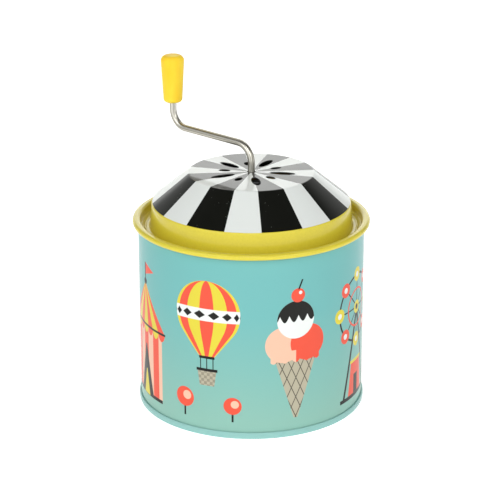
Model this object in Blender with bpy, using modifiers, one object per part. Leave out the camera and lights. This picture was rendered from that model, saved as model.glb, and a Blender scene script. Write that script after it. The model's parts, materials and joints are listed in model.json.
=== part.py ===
"""Hand-cranked tin music box, as the separate parts that it comes apart into.

Metres, with +Z up. The origin is the centre of the flat base, and -Y is the front.
The crank wire turns a worm, the worm turns the wheel on the end of the pinned drum,
and the drum's pins run past the teeth of the tone comb under the domed lid.
"""

import math

import bmesh
import bpy
from mathutils import Matrix, Vector

# Sheet, gaps and facets
TIN_SHEET = 0.0004
FIT_GAP = 0.0003
RUNNING_GAP = 0.0003
CUT_MARGIN = 0.0010
TIN_STEPS = 44
FINE_STEPS = 20
SMALL_STEPS = 12
ARC_STEP = math.radians(46)

# Can wall and base
CAN_RADIUS = 0.0500
SIDE_SEAM_WIDTH = 0.0050
SIDE_SEAM_RISE = 0.0003
BASE_SEAM_RISE = 0.0008
BASE_SEAM_HEIGHT = 0.0030
BASE_PANEL_HEIGHT = 0.0026
BASE_STEP_INSET = 0.0060
BASE_STEP_HEIGHT = 0.0008
BASE_BEND = 0.0005

# Rolled rim and countersunk groove of the lid
RIM_HEIGHT = 0.0838
RIM_ROLL_RADIUS = 0.0013
RIM_OVERHANG = 0.00243
RIM_TUCK_ANGLE = math.radians(-120)
WALL_FLANGE_BEND = 0.0005
GROOVE_DEPTH = 0.0028
GROOVE_WIDTH = 0.0041
GROOVE_BEND = 0.0006
GROOVE_BEAD_WIDTH = 0.0012
GROOVE_BEAD_RISE = 0.0005

# Collar and dome of the lid
COLLAR_RISE = 0.01077
COLLAR_TAPER = 0.00088
COLLAR_BEND = 0.0012
DOME_RISE = 0.01348
DOME_TOP_RADIUS = 0.0277
DOME_EDGE_BEND = 0.0010

# Sound holes, ellipses with their long axis radial, large and small in turn
SOUND_HOLE_PAIRS = 5
SOUND_HOLE_START = math.radians(-9.7)
LARGE_HOLE_LENGTH = 0.0115
LARGE_HOLE_WIDTH = 0.0039
LARGE_HOLE_DISTANCE = 0.0138
SMALL_HOLE_LENGTH = 0.0053
SMALL_HOLE_WIDTH = 0.0030
SMALL_HOLE_DISTANCE = 0.0120

# Crank wire
WIRE_RADIUS = 0.0015
SHAFT_HOLE_CLEARANCE = 0.0004
ARM_CLEARANCE = 0.01185
ARM_LENGTH = 0.0483
ARM_AZIMUTH = math.radians(136.9)
WIRE_BEND = 0.0078
WIRE_BEND_STEPS = 6
WIRE_BEVEL_RESOLUTION = 3

# Grip, loose on the end of the wire and held by a ring pressed on inside it
GRIP_LENGTH = 0.0216
GRIP_TOP_RADIUS = 0.0054
GRIP_FOOT_RADIUS = 0.0042
GRIP_TOP_ROUNDING = 0.0025
GRIP_FOOT_ROUNDING = 0.0016
GRIP_LIFT = 0.0030
GRIP_ROOF = 0.0030
STOP_RING_WALL = 0.0007
STOP_RING_LENGTH = 0.0015
STOP_RING_INSET = 0.0088
STOP_RING_LIFT = 0.0020

# Bridge that carries the movement across the inside of the collar
BRIDGE_SHEET = 0.0010
BRIDGE_DROP = 0.00377
BRIDGE_FLANGE_DEPTH = 0.0055
BRIDGE_FRONT = 0.0120
BRIDGE_BACK = 0.0240

# Worm and wheel
TOOTH_MODULE = 0.0008
WHEEL_TEETH = 16
WHEEL_WIDTH = 0.0032
WORM_PITCH_RADIUS = 0.0036
WORM_LENGTH = 0.0060
WORM_STEPS_PER_TURN = 14
TOOTH_ADDENDUM = 0.00065
TOOTH_PLAY = 0.00035
TOOTH_SLOPE = math.radians(20)

# Pinned drum and its arbor
DRUM_RADIUS = 0.0065
DRUM_SHEET = 0.0007
DRUM_STEPS = 24
PIN_RADIUS = 0.00025
PIN_REACH = 0.0008
PINS_PER_TRACK = 3
NOTE_STEPS = 40
CAP_FLANGE = 0.0010
CAP_SPIGOT = 0.0020
CAP_INSET = 0.0003
ARBOR_RADIUS = 0.0012
ARBOR_STAND_OUT = 0.0012
ARBOR_CLEARANCE = 0.0005

# Tone comb
COMB_TEETH = 18
TOOTH_PITCH = 0.00104
TOOTH_SLIT = 0.00030
COMB_SHEET = 0.0012
COMB_DROP = 0.0030
COMB_ROOM = 0.0024
SHORTEST_TOOTH_SHARE = 0.55
COMB_HEEL = 0.0050
COMB_MARGIN = 0.0005
COMB_SCREWS = 3
COMB_SCREW_INSET = 0.0022

# Bedplate
BED_THICKNESS = 0.0030
BED_EDGE = 0.0010
SHELF_INSET = 0.0004
DRUM_WINDOW_CLEARANCE = 0.0004
DRUM_AXIS_ABOVE_BED = 0.0049

# Brackets
BRACKET_SHEET = 0.0012
BRACKET_FOOT = 0.0052
DRUM_BRACKET_WIDTH = 0.0080
SHAFT_BRACKET_WIDTH = 0.0090
BRACKET_BEND = 0.0004

# Bushes, washers and ring on the crank shaft
BUSH_WALL = 0.0008
BUSH_FLANGE_REACH = 0.0008
BUSH_FLANGE_SHEET = 0.0006
WASHER_SHEET = 0.0004
WASHER_REACH = 0.0010
SHAFT_RING_LENGTH = 0.0008
SHAFT_RING_WALL = 0.0014
SHAFT_STAND_OUT = 0.0010

# Screws
SCREW_RADIUS = 0.0009
SCREW_HEAD_RADIUS = 0.0019
SCREW_HEAD_HEIGHT = 0.0012
SCREW_SLOT_WIDTH = 0.0005
SCREW_SLOT_DEPTH = 0.0005
SCREW_GRIP = 0.0020
MOUNT_SCREW_INSET = 0.0026

# Finishes as (colour, roughness, metallic)
FINISHES = {
    "turquoise print": ((0.24, 0.60, 0.54), 0.30, 0.0),
    "yellow print": ((0.73, 0.62, 0.06), 0.28, 0.0),
    "yellow plastic": ((1.00, 0.72, 0.05), 0.35, 0.0),
    "nickel wire": ((0.72, 0.69, 0.63), 0.18, 1.0),
    "zinc casting": ((0.55, 0.56, 0.58), 0.45, 1.0),
    "rolled steel": ((0.60, 0.61, 0.63), 0.35, 1.0),
    "blued steel": ((0.32, 0.34, 0.38), 0.30, 1.0),
    "brass": ((0.72, 0.52, 0.20), 0.28, 1.0),
    "black plastic": ((0.04, 0.04, 0.04), 0.45, 0.0),
}

# Levels of the tin
LID_WALL_RADIUS = CAN_RADIUS - 2 * TIN_SHEET - FIT_GAP
RIM_RADIUS = CAN_RADIUS + RIM_OVERHANG - RIM_ROLL_RADIUS
RIM_TOP = RIM_HEIGHT + RIM_ROLL_RADIUS
GROOVE_HEIGHT = RIM_HEIGHT - GROOVE_DEPTH
COLLAR_FOOT = (LID_WALL_RADIUS - GROOVE_WIDTH, GROOVE_HEIGHT)
COLLAR_TOP = (COLLAR_FOOT[0] - COLLAR_TAPER, GROOVE_HEIGHT + COLLAR_RISE)
DOME_TOP = COLLAR_TOP[1] + DOME_RISE


def wall_inside(outer_top, outer_foot, height):
    """Radius of the inner side of a sheet wall at a height, from two points on its outer side."""
    run = outer_foot[0] - outer_top[0]
    drop = outer_top[1] - outer_foot[1]
    outer = outer_top[0] + run * (outer_top[1] - height) / drop
    return outer - TIN_SHEET * math.hypot(run, drop) / drop


# Levels and places of the movement
BRIDGE_TOP = COLLAR_TOP[1] - BRIDGE_DROP
BED_BOTTOM = BRIDGE_TOP + FIT_GAP
BED_TOP = BED_BOTTOM + BED_THICKNESS
DRUM_AXIS_HEIGHT = BED_TOP + DRUM_AXIS_ABOVE_BED
WHEEL_PITCH_RADIUS = WHEEL_TEETH * TOOTH_MODULE / 2
TOOTH_DEDENDUM = TOOTH_ADDENDUM + RUNNING_GAP
TOOTH_WIDTH = math.pi * TOOTH_MODULE / 2 - TOOTH_PLAY
WORM_LEAD = math.pi * TOOTH_MODULE
WORM_TIP_RADIUS = WORM_PITCH_RADIUS + TOOTH_ADDENDUM
WHEEL_TIP_RADIUS = WHEEL_PITCH_RADIUS + TOOTH_ADDENDUM
DRUM_AXIS_OFFSET = WORM_PITCH_RADIUS + WHEEL_PITCH_RADIUS
PIN_TIP_RADIUS = DRUM_RADIUS + PIN_REACH
SWEPT_RADIUS = max(PIN_TIP_RADIUS, WHEEL_TIP_RADIUS)
DRUM_LENGTH = COMB_TEETH * TOOTH_PITCH
WHEEL_START = -WHEEL_WIDTH / 2
LEFT_CAP_START = WHEEL_START + WHEEL_WIDTH + FIT_GAP
DRUM_START = LEFT_CAP_START + CAP_FLANGE + FIT_GAP
DRUM_END = DRUM_START + DRUM_LENGTH
RIGHT_CAP_END = DRUM_END + FIT_GAP + CAP_FLANGE
LEFT_BRACKET_FACE = WHEEL_START - ARBOR_CLEARANCE
RIGHT_BRACKET_FACE = RIGHT_CAP_END + ARBOR_CLEARANCE
BED_LEFT = LEFT_BRACKET_FACE - BRACKET_SHEET - BRACKET_FOOT - BED_EDGE
BED_RIGHT = RIGHT_BRACKET_FACE + BRACKET_SHEET + BRACKET_FOOT + BED_EDGE
SHAFT_BRACKET_FACE = -WORM_TIP_RADIUS - 2 * RUNNING_GAP
BED_FRONT = SHAFT_BRACKET_FACE - BRACKET_SHEET - BRACKET_FOOT - BED_EDGE
BRACKET_FOOT_TOP = BED_TOP + FIT_GAP + BRACKET_SHEET

# Tone comb, level with the lower half of the drum; its last screw head clears the cone
COMB_BOTTOM = DRUM_AXIS_HEIGHT - COMB_DROP - COMB_SHEET / 2
COMB_TOP = COMB_BOTTOM + COMB_SHEET
COMB_TIP = DRUM_AXIS_OFFSET + RUNNING_GAP + math.sqrt(
    PIN_TIP_RADIUS ** 2 - (DRUM_AXIS_HEIGHT - COMB_TOP) ** 2
)
COMB_LEFT = DRUM_START - COMB_MARGIN
COMB_RIGHT = DRUM_END + COMB_MARGIN
COMB_SCREW_SPACING = (COMB_RIGHT - COMB_LEFT) / COMB_SCREWS
COMB_SCREW_TOP = COMB_TOP + FIT_GAP + SCREW_HEAD_HEIGHT
CONE_INSIDE = wall_inside((DOME_TOP_RADIUS, DOME_TOP), COLLAR_TOP, COMB_SCREW_TOP)
COMB_SCREW_REACH = CONE_INSIDE - SCREW_HEAD_RADIUS - COMB_ROOM
COMB_SCREW_LINE = math.sqrt(COMB_SCREW_REACH ** 2 - (COMB_RIGHT - COMB_SCREW_SPACING / 2) ** 2)
COMB_BACK = COMB_SCREW_LINE + COMB_SCREW_INSET
COMB_HEEL_START = COMB_BACK - COMB_HEEL
LONGEST_TOOTH = COMB_HEEL_START - COMB_TIP
SHORTEST_TOOTH = LONGEST_TOOTH * SHORTEST_TOOTH_SHARE
SHELF_FRONT = COMB_HEEL_START + SHELF_INSET
SHELF_BACK = COMB_BACK + SHELF_INSET

# Crank shaft, from its lower end up to the arm
SHAFT_BORE = WIRE_RADIUS + RUNNING_GAP
BUSH_RADIUS = SHAFT_BORE + BUSH_WALL
BUSH_HOLE_RADIUS = BUSH_RADIUS + FIT_GAP
WORM_BOTTOM = DRUM_AXIS_HEIGHT - WORM_LENGTH / 2
WORM_TOP = WORM_BOTTOM + WORM_LENGTH
LOWER_WASHER_BOTTOM = WORM_BOTTOM - FIT_GAP - WASHER_SHEET
LOWER_FLANGE_BOTTOM = BED_TOP + FIT_GAP
UPPER_WASHER_BOTTOM = WORM_TOP + FIT_GAP
UPPER_FLANGE_BOTTOM = UPPER_WASHER_BOTTOM + WASHER_SHEET + FIT_GAP
SHAFT_ARM_BOTTOM = UPPER_FLANGE_BOTTOM + BUSH_FLANGE_SHEET + FIT_GAP
SHAFT_RING_TOP = BRIDGE_TOP - BRIDGE_SHEET - FIT_GAP
SHAFT_BOTTOM = SHAFT_RING_TOP - SHAFT_RING_LENGTH - SHAFT_STAND_OUT
ARM_HEIGHT = DOME_TOP + ARM_CLEARANCE
GRIP_BOTTOM = ARM_HEIGHT + WIRE_BEND + GRIP_LIFT
WIRE_TOP = GRIP_BOTTOM + GRIP_LENGTH - GRIP_ROOF - RUNNING_GAP
STOP_RING_BOTTOM = WIRE_TOP - STOP_RING_INSET - STOP_RING_LENGTH
ARM_DIRECTION = Vector((math.cos(ARM_AZIMUTH), math.sin(ARM_AZIMUTH), 0.0))


def clear_scene():
    """Remove what the scene holds already."""
    for found in list(bpy.data.objects):
        bpy.data.objects.remove(found, do_unlink=True)


def new_collection(name):
    """A collection under the scene's own."""
    collection = bpy.data.collections.new(name)
    bpy.context.scene.collection.children.link(collection)
    return collection


def new_material(name, finish):
    """A Principled material for one part."""
    colour, roughness, metallic = FINISHES[finish]
    material = bpy.data.materials.new(name)
    material.use_nodes = True
    shader = material.node_tree.nodes["Principled BSDF"]
    shader.inputs["Base Color"].default_value = (*colour, 1.0)
    shader.inputs["Roughness"].default_value = roughness
    shader.inputs["Metallic"].default_value = metallic
    material.diffuse_color = (*colour, 1.0)
    return material


def add_part(name, data, finish, parent=None, location=(0.0, 0.0, 0.0), rotation=(0.0, 0.0, 0.0)):
    """Link one part's object, with its own material, in place under its parent."""
    part = bpy.data.objects.new(name, data)
    part.parent = parent
    part.location = location
    part.rotation_euler = rotation
    if not data.materials:
        data.materials.append(new_material(name, finish))
    PARTS.objects.link(part)
    return part


def add_axis(name, location, rotation=(0.0, 0.0, 0.0), parent=None):
    """An empty whose Z is the axis that a group of parts turns about."""
    axis = bpy.data.objects.new(name, None)
    axis.parent = parent
    axis.location = location
    axis.rotation_euler = rotation
    axis.empty_display_size = 2 * DRUM_RADIUS
    PARTS.objects.link(axis)
    return axis


def add_tool(name, mesh):
    """A solid that only cuts or shapes a part."""
    tool = bpy.data.objects.new(name, mesh)
    tool.hide_render = True
    tool.display_type = "WIRE"
    CUTTERS.objects.link(tool)
    return tool


def combine(part, tool, operation):
    """Cut, join or intersect a part with a tool."""
    modifier = part.modifiers.new(tool.name, "BOOLEAN")
    modifier.operation = operation
    modifier.solver = "EXACT"
    modifier.object = tool


def settle(part):
    """Keep the mesh that the modifiers make, shaded smooth up to its sharp edges."""
    bpy.context.view_layer.update()
    graph = bpy.context.evaluated_depsgraph_get()
    mesh = bpy.data.meshes.new_from_object(part.evaluated_get(graph))
    mesh.name = part.name
    part.modifiers.clear()
    part.data = mesh
    mesh.shade_smooth()
    mesh.set_sharp_from_angle(angle=math.radians(35))
    return part


def mesh_of(name, build):
    """A mesh from a function that fills a bmesh."""
    shape = bmesh.new()
    build(shape)
    mesh = bpy.data.meshes.new(name)
    shape.to_mesh(mesh)
    shape.free()
    return mesh


def put_box(shape, low, high):
    """A box between two corners."""
    centre = (Vector(low) + Vector(high)) / 2
    size = Vector(high) - Vector(low)
    place = Matrix.Translation(centre) @ Matrix.Diagonal((*size, 1.0))
    bmesh.ops.create_cube(shape, size=1.0, matrix=place)


def put_rod(shape, start, end, radius, segments, end_radius=None):
    """A round or tapered rod between two points."""
    run = Vector(end) - Vector(start)
    turn = Vector((0.0, 0.0, 1.0)).rotation_difference(run).to_matrix().to_4x4()
    place = Matrix.Translation((Vector(start) + Vector(end)) / 2) @ turn
    tip_radius = radius if end_radius is None else end_radius
    bmesh.ops.create_cone(
        shape, cap_ends=True, segments=segments,
        radius1=radius, radius2=tip_radius, depth=run.length, matrix=place,
    )


def arc_points(centre, radius, start, end):
    """Points round part of a circle, both ends included."""
    count = max(1, math.ceil(abs(end - start) / ARC_STEP))
    angles = [start + (end - start) * index / count for index in range(count + 1)]
    return [(centre[0] + radius * math.cos(angle), centre[1] + radius * math.sin(angle)) for angle in angles]


def rounded(corners):
    """Points of an open outline of (x, y, bend radius) corners, with its bends as arcs."""
    points = [corners[0][:2]]
    for before, corner, after in zip(corners, corners[1:], corners[2:]):
        if corner[2] == 0:
            points.append(corner[:2])
            continue
        here = Vector(corner[:2])
        back = (Vector(before[:2]) - here).normalized()
        ahead = (Vector(after[:2]) - here).normalized()
        half_angle = back.angle(ahead) / 2
        centre = here + (back + ahead).normalized() * corner[2] / math.sin(half_angle)
        reach = corner[2] / math.tan(half_angle)
        first = here + back * reach - centre
        last = here + ahead * reach - centre
        start = math.atan2(first.y, first.x)
        sweep = (math.atan2(last.y, last.x) - start + math.pi) % (2 * math.pi) - math.pi
        points += arc_points(centre, corner[2], start, start + sweep)
    points.append(corners[-1][:2])
    return points


def profile_mesh(name, points, closed=False):
    """Edges through (radius, height) points, to be turned about Z."""
    def build(shape):
        verts = [shape.verts.new((radius, 0.0, height)) for radius, height in points]
        for first, second in zip(verts, verts[1:]):
            shape.edges.new((first, second))
        if closed:
            shape.edges.new((verts[-1], verts[0]))
    return mesh_of(name, build)


def turn(part, steps):
    """Turn a part's profile once about its Z axis."""
    modifier = part.modifiers.new("turn", "SCREW")
    modifier.steps = steps
    modifier.render_steps = steps
    modifier.use_merge_vertices = True
    modifier.merge_threshold = 0.00001
    modifier.use_normal_calculate = False


def turned_part(name, points, finish, steps, closed=False, **place):
    """A solid turned from an outline, which ends on the axis or closes on itself."""
    part = add_part(name, profile_mesh(name, points, closed), finish, **place)
    turn(part, steps)
    return part


def pressed_part(name, points, finish):
    """A tin pressing whose outer side is the turned outline."""
    part = turned_part(name, points, finish, TIN_STEPS)
    modifier = part.modifiers.new("sheet", "SOLIDIFY")
    modifier.thickness = TIN_SHEET
    modifier.offset = -1.0
    modifier.use_even_offset = True
    return part


def ring_outline(inner, outer, bottom, top):
    """Closed outline of a plain ring, down its outer side and up its bore."""
    return [(outer, top), (outer, bottom), (inner, bottom), (inner, top)]


def plate_mesh(name, points, thickness):
    """A flat plate of the given outline in the XY plane, centred on Z = 0."""
    curve = bpy.data.curves.new(name, "CURVE")
    curve.dimensions = "2D"
    curve.fill_mode = "BOTH"
    curve.extrude = thickness / 2
    spline = curve.splines.new("POLY")
    spline.points.add(len(points) - 1)
    spline.use_cyclic_u = True
    for spline_point, (across, along) in zip(spline.points, points):
        spline_point.co = (across, along, 0.0, 1.0)
    holder = bpy.data.objects.new(name, curve)
    CUTTERS.objects.link(holder)
    bpy.context.view_layer.update()
    graph = bpy.context.evaluated_depsgraph_get()
    flat = bpy.data.meshes.new_from_object(holder.evaluated_get(graph))

    def build(shape):
        shape.from_mesh(flat)
        bmesh.ops.remove_doubles(shape, verts=shape.verts, dist=0.00001)
        bmesh.ops.recalc_face_normals(shape, faces=shape.faces)

    mesh = mesh_of(name, build)
    bpy.data.objects.remove(holder)
    return mesh


def make_can_wall():
    """Rolled wall of the can, flanged into the lid's rim, with the lock seam at the back."""
    flange_height = RIM_TOP - 2 * TIN_SHEET - FIT_GAP
    outline = rounded([
        (RIM_RADIUS, flange_height, 0),
        (CAN_RADIUS, flange_height, WALL_FLANGE_BEND),
        (CAN_RADIUS, TIN_SHEET + FIT_GAP, 0),
    ])
    wall = pressed_part("can_wall", outline, "turquoise print")
    seam_low = BASE_SEAM_HEIGHT + FIT_GAP
    seam_high = RIM_HEIGHT - RIM_ROLL_RADIUS - FIT_GAP

    def build(shape):
        put_box(
            shape,
            (-SIDE_SEAM_WIDTH / 2, CAN_RADIUS - TIN_SHEET / 2, seam_low),
            (SIDE_SEAM_WIDTH / 2, CAN_RADIUS + SIDE_SEAM_RISE, seam_high),
        )

    combine(wall, add_tool("side_seam", mesh_of("side_seam", build)), "UNION")
    settle(wall)


def make_can_base():
    """Pressed base, hooked round the foot of the wall and standing on a flat ring."""
    hook_radius = CAN_RADIUS + BASE_SEAM_RISE
    wall_radius = LID_WALL_RADIUS
    step_radius = wall_radius - BASE_STEP_INSET
    panel_height = BASE_PANEL_HEIGHT + BASE_STEP_HEIGHT
    outline = rounded([
        (hook_radius, BASE_SEAM_HEIGHT, 0),
        (hook_radius, 0.0, BASE_BEND),
        (wall_radius, 0.0, BASE_BEND),
        (wall_radius, BASE_PANEL_HEIGHT, BASE_BEND),
        (step_radius, BASE_PANEL_HEIGHT, 0),
        (step_radius - BASE_STEP_HEIGHT, panel_height, 0),
        (0.0, panel_height, 0),
    ])
    settle(pressed_part("can_base", outline, "turquoise print"))


def lid_outline():
    """Printed side of the lid, from the crank's hole out to the tucked edge of the rim."""
    bead_radius = LID_WALL_RADIUS - GROOVE_WIDTH / 2
    flat = rounded([
        (WIRE_RADIUS + SHAFT_HOLE_CLEARANCE, DOME_TOP, 0),
        (DOME_TOP_RADIUS, DOME_TOP, DOME_EDGE_BEND),
        (*COLLAR_TOP, COLLAR_BEND),
        (*COLLAR_FOOT, GROOVE_BEND),
        (bead_radius - GROOVE_BEAD_WIDTH / 2, GROOVE_HEIGHT, 0),
        (bead_radius, GROOVE_HEIGHT + GROOVE_BEAD_RISE, 0),
        (bead_radius + GROOVE_BEAD_WIDTH / 2, GROOVE_HEIGHT, 0),
        (LID_WALL_RADIUS, GROOVE_HEIGHT, GROOVE_BEND),
        (LID_WALL_RADIUS, RIM_HEIGHT, 0),
    ])
    inner_centre = (LID_WALL_RADIUS + RIM_ROLL_RADIUS, RIM_HEIGHT)
    over = arc_points(inner_centre, RIM_ROLL_RADIUS, math.pi, math.pi / 2)
    under = arc_points((RIM_RADIUS, RIM_HEIGHT), RIM_ROLL_RADIUS, math.pi / 2, RIM_TUCK_ANGLE)
    return flat + over[1:] + under


def put_sound_hole(shape, angle, distance, length, width):
    """An upright elliptical plug through the flat top."""
    size = Matrix.Diagonal((length / 2, width / 2, 1.0, 1.0))
    place = Matrix.Rotation(angle, 4, "Z") @ Matrix.Translation((distance, 0.0, DOME_TOP))
    bmesh.ops.create_cone(
        shape, cap_ends=True, segments=SMALL_STEPS,
        radius1=1.0, radius2=1.0, depth=2 * CUT_MARGIN + TIN_SHEET, matrix=place @ size,
    )


def make_lid():
    """One pressing: flat top with sound holes, cone, collar, groove and rolled rim."""
    lid = pressed_part("lid", lid_outline(), "yellow print")

    def build(shape):
        for index in range(2 * SOUND_HOLE_PAIRS):
            angle = SOUND_HOLE_START + math.pi * index / SOUND_HOLE_PAIRS
            if index % 2 == 0:
                put_sound_hole(shape, angle, LARGE_HOLE_DISTANCE, LARGE_HOLE_LENGTH, LARGE_HOLE_WIDTH)
            else:
                put_sound_hole(shape, angle, SMALL_HOLE_DISTANCE, SMALL_HOLE_LENGTH, SMALL_HOLE_WIDTH)

    combine(lid, add_tool("sound_holes", mesh_of("sound_holes", build)), "DIFFERENCE")
    settle(lid)


def mounting_places():
    """Where the screws pass up through the bridge into the bedplate."""
    left = BED_LEFT + MOUNT_SCREW_INSET
    right = BED_RIGHT - MOUNT_SCREW_INSET
    front = BED_FRONT + MOUNT_SCREW_INSET
    back = BRIDGE_BACK - MOUNT_SCREW_INSET - FIT_GAP
    return [(left, front), (right, front), (left, back), (right, back)]


def drum_bracket_screws():
    """Where the screws hold the feet of the two drum brackets."""
    reach = BRACKET_SHEET + BRACKET_FOOT / 2
    return [
        (LEFT_BRACKET_FACE - reach, DRUM_AXIS_OFFSET),
        (RIGHT_BRACKET_FACE + reach, DRUM_AXIS_OFFSET),
    ]


def shaft_bracket_screw():
    """Where the screw holds the foot of the shaft bracket."""
    return (0.0, SHAFT_BRACKET_FACE - BRACKET_SHEET - BRACKET_FOOT / 2)


def comb_screws():
    """Where the screws hold the heel of the comb."""
    return [
        (COMB_LEFT + COMB_SCREW_SPACING * (index + 0.5), COMB_SCREW_LINE)
        for index in range(COMB_SCREWS)
    ]


def make_movement_bridge():
    """Steel strip across the collar, its ends turned down along the collar's inside."""
    foot = BRIDGE_TOP - BRIDGE_FLANGE_DEPTH
    top_radius = wall_inside(COLLAR_TOP, COLLAR_FOOT, BRIDGE_TOP) - FIT_GAP
    foot_radius = wall_inside(COLLAR_TOP, COLLAR_FOOT, foot) - FIT_GAP
    under = BRIDGE_TOP - BRIDGE_SHEET
    outline = [
        (0.0, BRIDGE_TOP),
        (top_radius, BRIDGE_TOP),
        (foot_radius, foot),
        (foot_radius - BRIDGE_SHEET, foot),
        (top_radius - BRIDGE_SHEET, under),
        (0.0, under),
    ]
    bridge = turned_part("movement_bridge", outline, "rolled steel", TIN_STEPS)

    def build_strip(shape):
        low = (-CAN_RADIUS, -BRIDGE_FRONT, foot - CUT_MARGIN)
        high = (CAN_RADIUS, BRIDGE_BACK, BRIDGE_TOP + CUT_MARGIN)
        put_box(shape, low, high)

    def build_holes(shape):
        bottom = under - CUT_MARGIN
        top = BRIDGE_TOP + CUT_MARGIN
        put_rod(shape, (0, 0, bottom), (0, 0, top), SHAFT_BORE, SMALL_STEPS)
        for x, y in mounting_places():
            put_rod(shape, (x, y, bottom), (x, y, top), SCREW_RADIUS + FIT_GAP, SMALL_STEPS)

    combine(bridge, add_tool("bridge_strip", mesh_of("bridge_strip", build_strip)), "INTERSECT")
    combine(bridge, add_tool("bridge_holes", mesh_of("bridge_holes", build_holes)), "DIFFERENCE")
    settle(bridge)


def make_bedplate():
    """Cast plate with a window under the drum and a raised shelf under the comb's heel."""
    def build_plate(shape):
        put_box(shape, (BED_LEFT, BED_FRONT, BED_BOTTOM), (BED_RIGHT, BRIDGE_BACK - BED_EDGE, BED_TOP))

    def build_shelf(shape):
        low = (COMB_LEFT - BED_EDGE, SHELF_FRONT, BED_BOTTOM)
        high = (COMB_RIGHT + BED_EDGE, SHELF_BACK, COMB_BOTTOM - FIT_GAP)
        put_box(shape, low, high)

    def build_neck(shape):
        low = (COMB_LEFT - BED_EDGE + CUT_MARGIN, BRIDGE_BACK - 2 * BED_EDGE, BED_BOTTOM)
        high = (COMB_RIGHT + BED_EDGE - CUT_MARGIN, SHELF_BACK - BED_EDGE, BED_TOP)
        put_box(shape, low, high)

    swept = SWEPT_RADIUS + DRUM_WINDOW_CLEARANCE
    half_window = math.sqrt(swept ** 2 - DRUM_AXIS_ABOVE_BED ** 2)

    def build_window(shape):
        low = (WHEEL_START - FIT_GAP, DRUM_AXIS_OFFSET - half_window, BED_BOTTOM - CUT_MARGIN)
        high = (RIGHT_CAP_END + FIT_GAP, DRUM_AXIS_OFFSET + half_window, BED_TOP + CUT_MARGIN)
        put_box(shape, low, high)

    def build_holes(shape):
        hole = SCREW_RADIUS + FIT_GAP
        below = BED_BOTTOM - CUT_MARGIN
        above = BED_TOP + CUT_MARGIN
        put_rod(shape, (0, 0, below), (0, 0, above), BUSH_HOLE_RADIUS, FINE_STEPS)
        for x, y in drum_bracket_screws() + [shaft_bracket_screw()]:
            put_rod(shape, (x, y, below), (x, y, above), hole, SMALL_STEPS)
        for x, y in mounting_places():
            put_rod(shape, (x, y, below), (x, y, BED_BOTTOM + SCREW_GRIP + FIT_GAP), hole, SMALL_STEPS)
        for x, y in comb_screws():
            put_rod(shape, (x, y, below), (x, y, COMB_BOTTOM + CUT_MARGIN), hole, SMALL_STEPS)

    bed = add_part("bedplate", mesh_of("bedplate", build_plate), "zinc casting")
    combine(bed, add_tool("comb_shelf", mesh_of("comb_shelf", build_shelf)), "UNION")
    combine(bed, add_tool("bed_neck", mesh_of("bed_neck", build_neck)), "UNION")
    combine(bed, add_tool("drum_window", mesh_of("drum_window", build_window)), "DIFFERENCE")
    combine(bed, add_tool("bed_holes", mesh_of("bed_holes", build_holes)), "DIFFERENCE")
    settle(bed)


def screw_template(name, shank):
    """Slotted cheese-head screw, pointing down, with the underside of its head at Z = 0."""
    outline = [
        (0.0, SCREW_HEAD_HEIGHT),
        (SCREW_HEAD_RADIUS, SCREW_HEAD_HEIGHT),
        (SCREW_HEAD_RADIUS, 0.0),
        (SCREW_RADIUS, 0.0),
        (SCREW_RADIUS, -shank),
        (0.0, -shank),
    ]
    screw = turned_part(name, outline, "rolled steel", SMALL_STEPS)

    def build(shape):
        reach = SCREW_HEAD_RADIUS + CUT_MARGIN
        low = (-reach, -SCREW_SLOT_WIDTH / 2, SCREW_HEAD_HEIGHT - SCREW_SLOT_DEPTH)
        high = (reach, SCREW_SLOT_WIDTH / 2, SCREW_HEAD_HEIGHT + CUT_MARGIN)
        put_box(shape, low, high)

    combine(screw, add_tool(name + "_slot", mesh_of(name + "_slot", build)), "DIFFERENCE")
    settle(screw)
    return screw


def make_screws(prefix, places, seat, shank, upside_down=False):
    """One screw for each place, all with the mesh of the first."""
    first = screw_template(prefix + "_1", shank)
    rotation = (math.pi, 0.0, 0.0) if upside_down else (0.0, 0.0, 0.0)
    for index, (x, y) in enumerate(places):
        if index == 0:
            screw = first
        else:
            screw = add_part(f"{prefix}_{index + 1}", first.data, "rolled steel")
        screw.location = (x, y, seat)
        screw.rotation_euler = rotation


def make_all_screws():
    """The screws of the brackets, of the comb and of the bedplate."""
    foot_seat = BRACKET_FOOT_TOP + FIT_GAP
    foot_shank = foot_seat - BED_TOP + SCREW_GRIP
    make_screws("drum_bracket_screw", drum_bracket_screws(), foot_seat, foot_shank)
    make_screws("shaft_bracket_screw", [shaft_bracket_screw()], foot_seat, foot_shank)
    comb_seat = COMB_TOP + FIT_GAP
    make_screws("comb_screw", comb_screws(), comb_seat, comb_seat - BED_TOP + SCREW_GRIP)
    mount_seat = BRIDGE_TOP - BRIDGE_SHEET - FIT_GAP
    mount_shank = BED_BOTTOM + SCREW_GRIP - mount_seat
    make_screws("mounting_screw", mounting_places(), mount_seat, mount_shank, upside_down=True)


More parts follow.
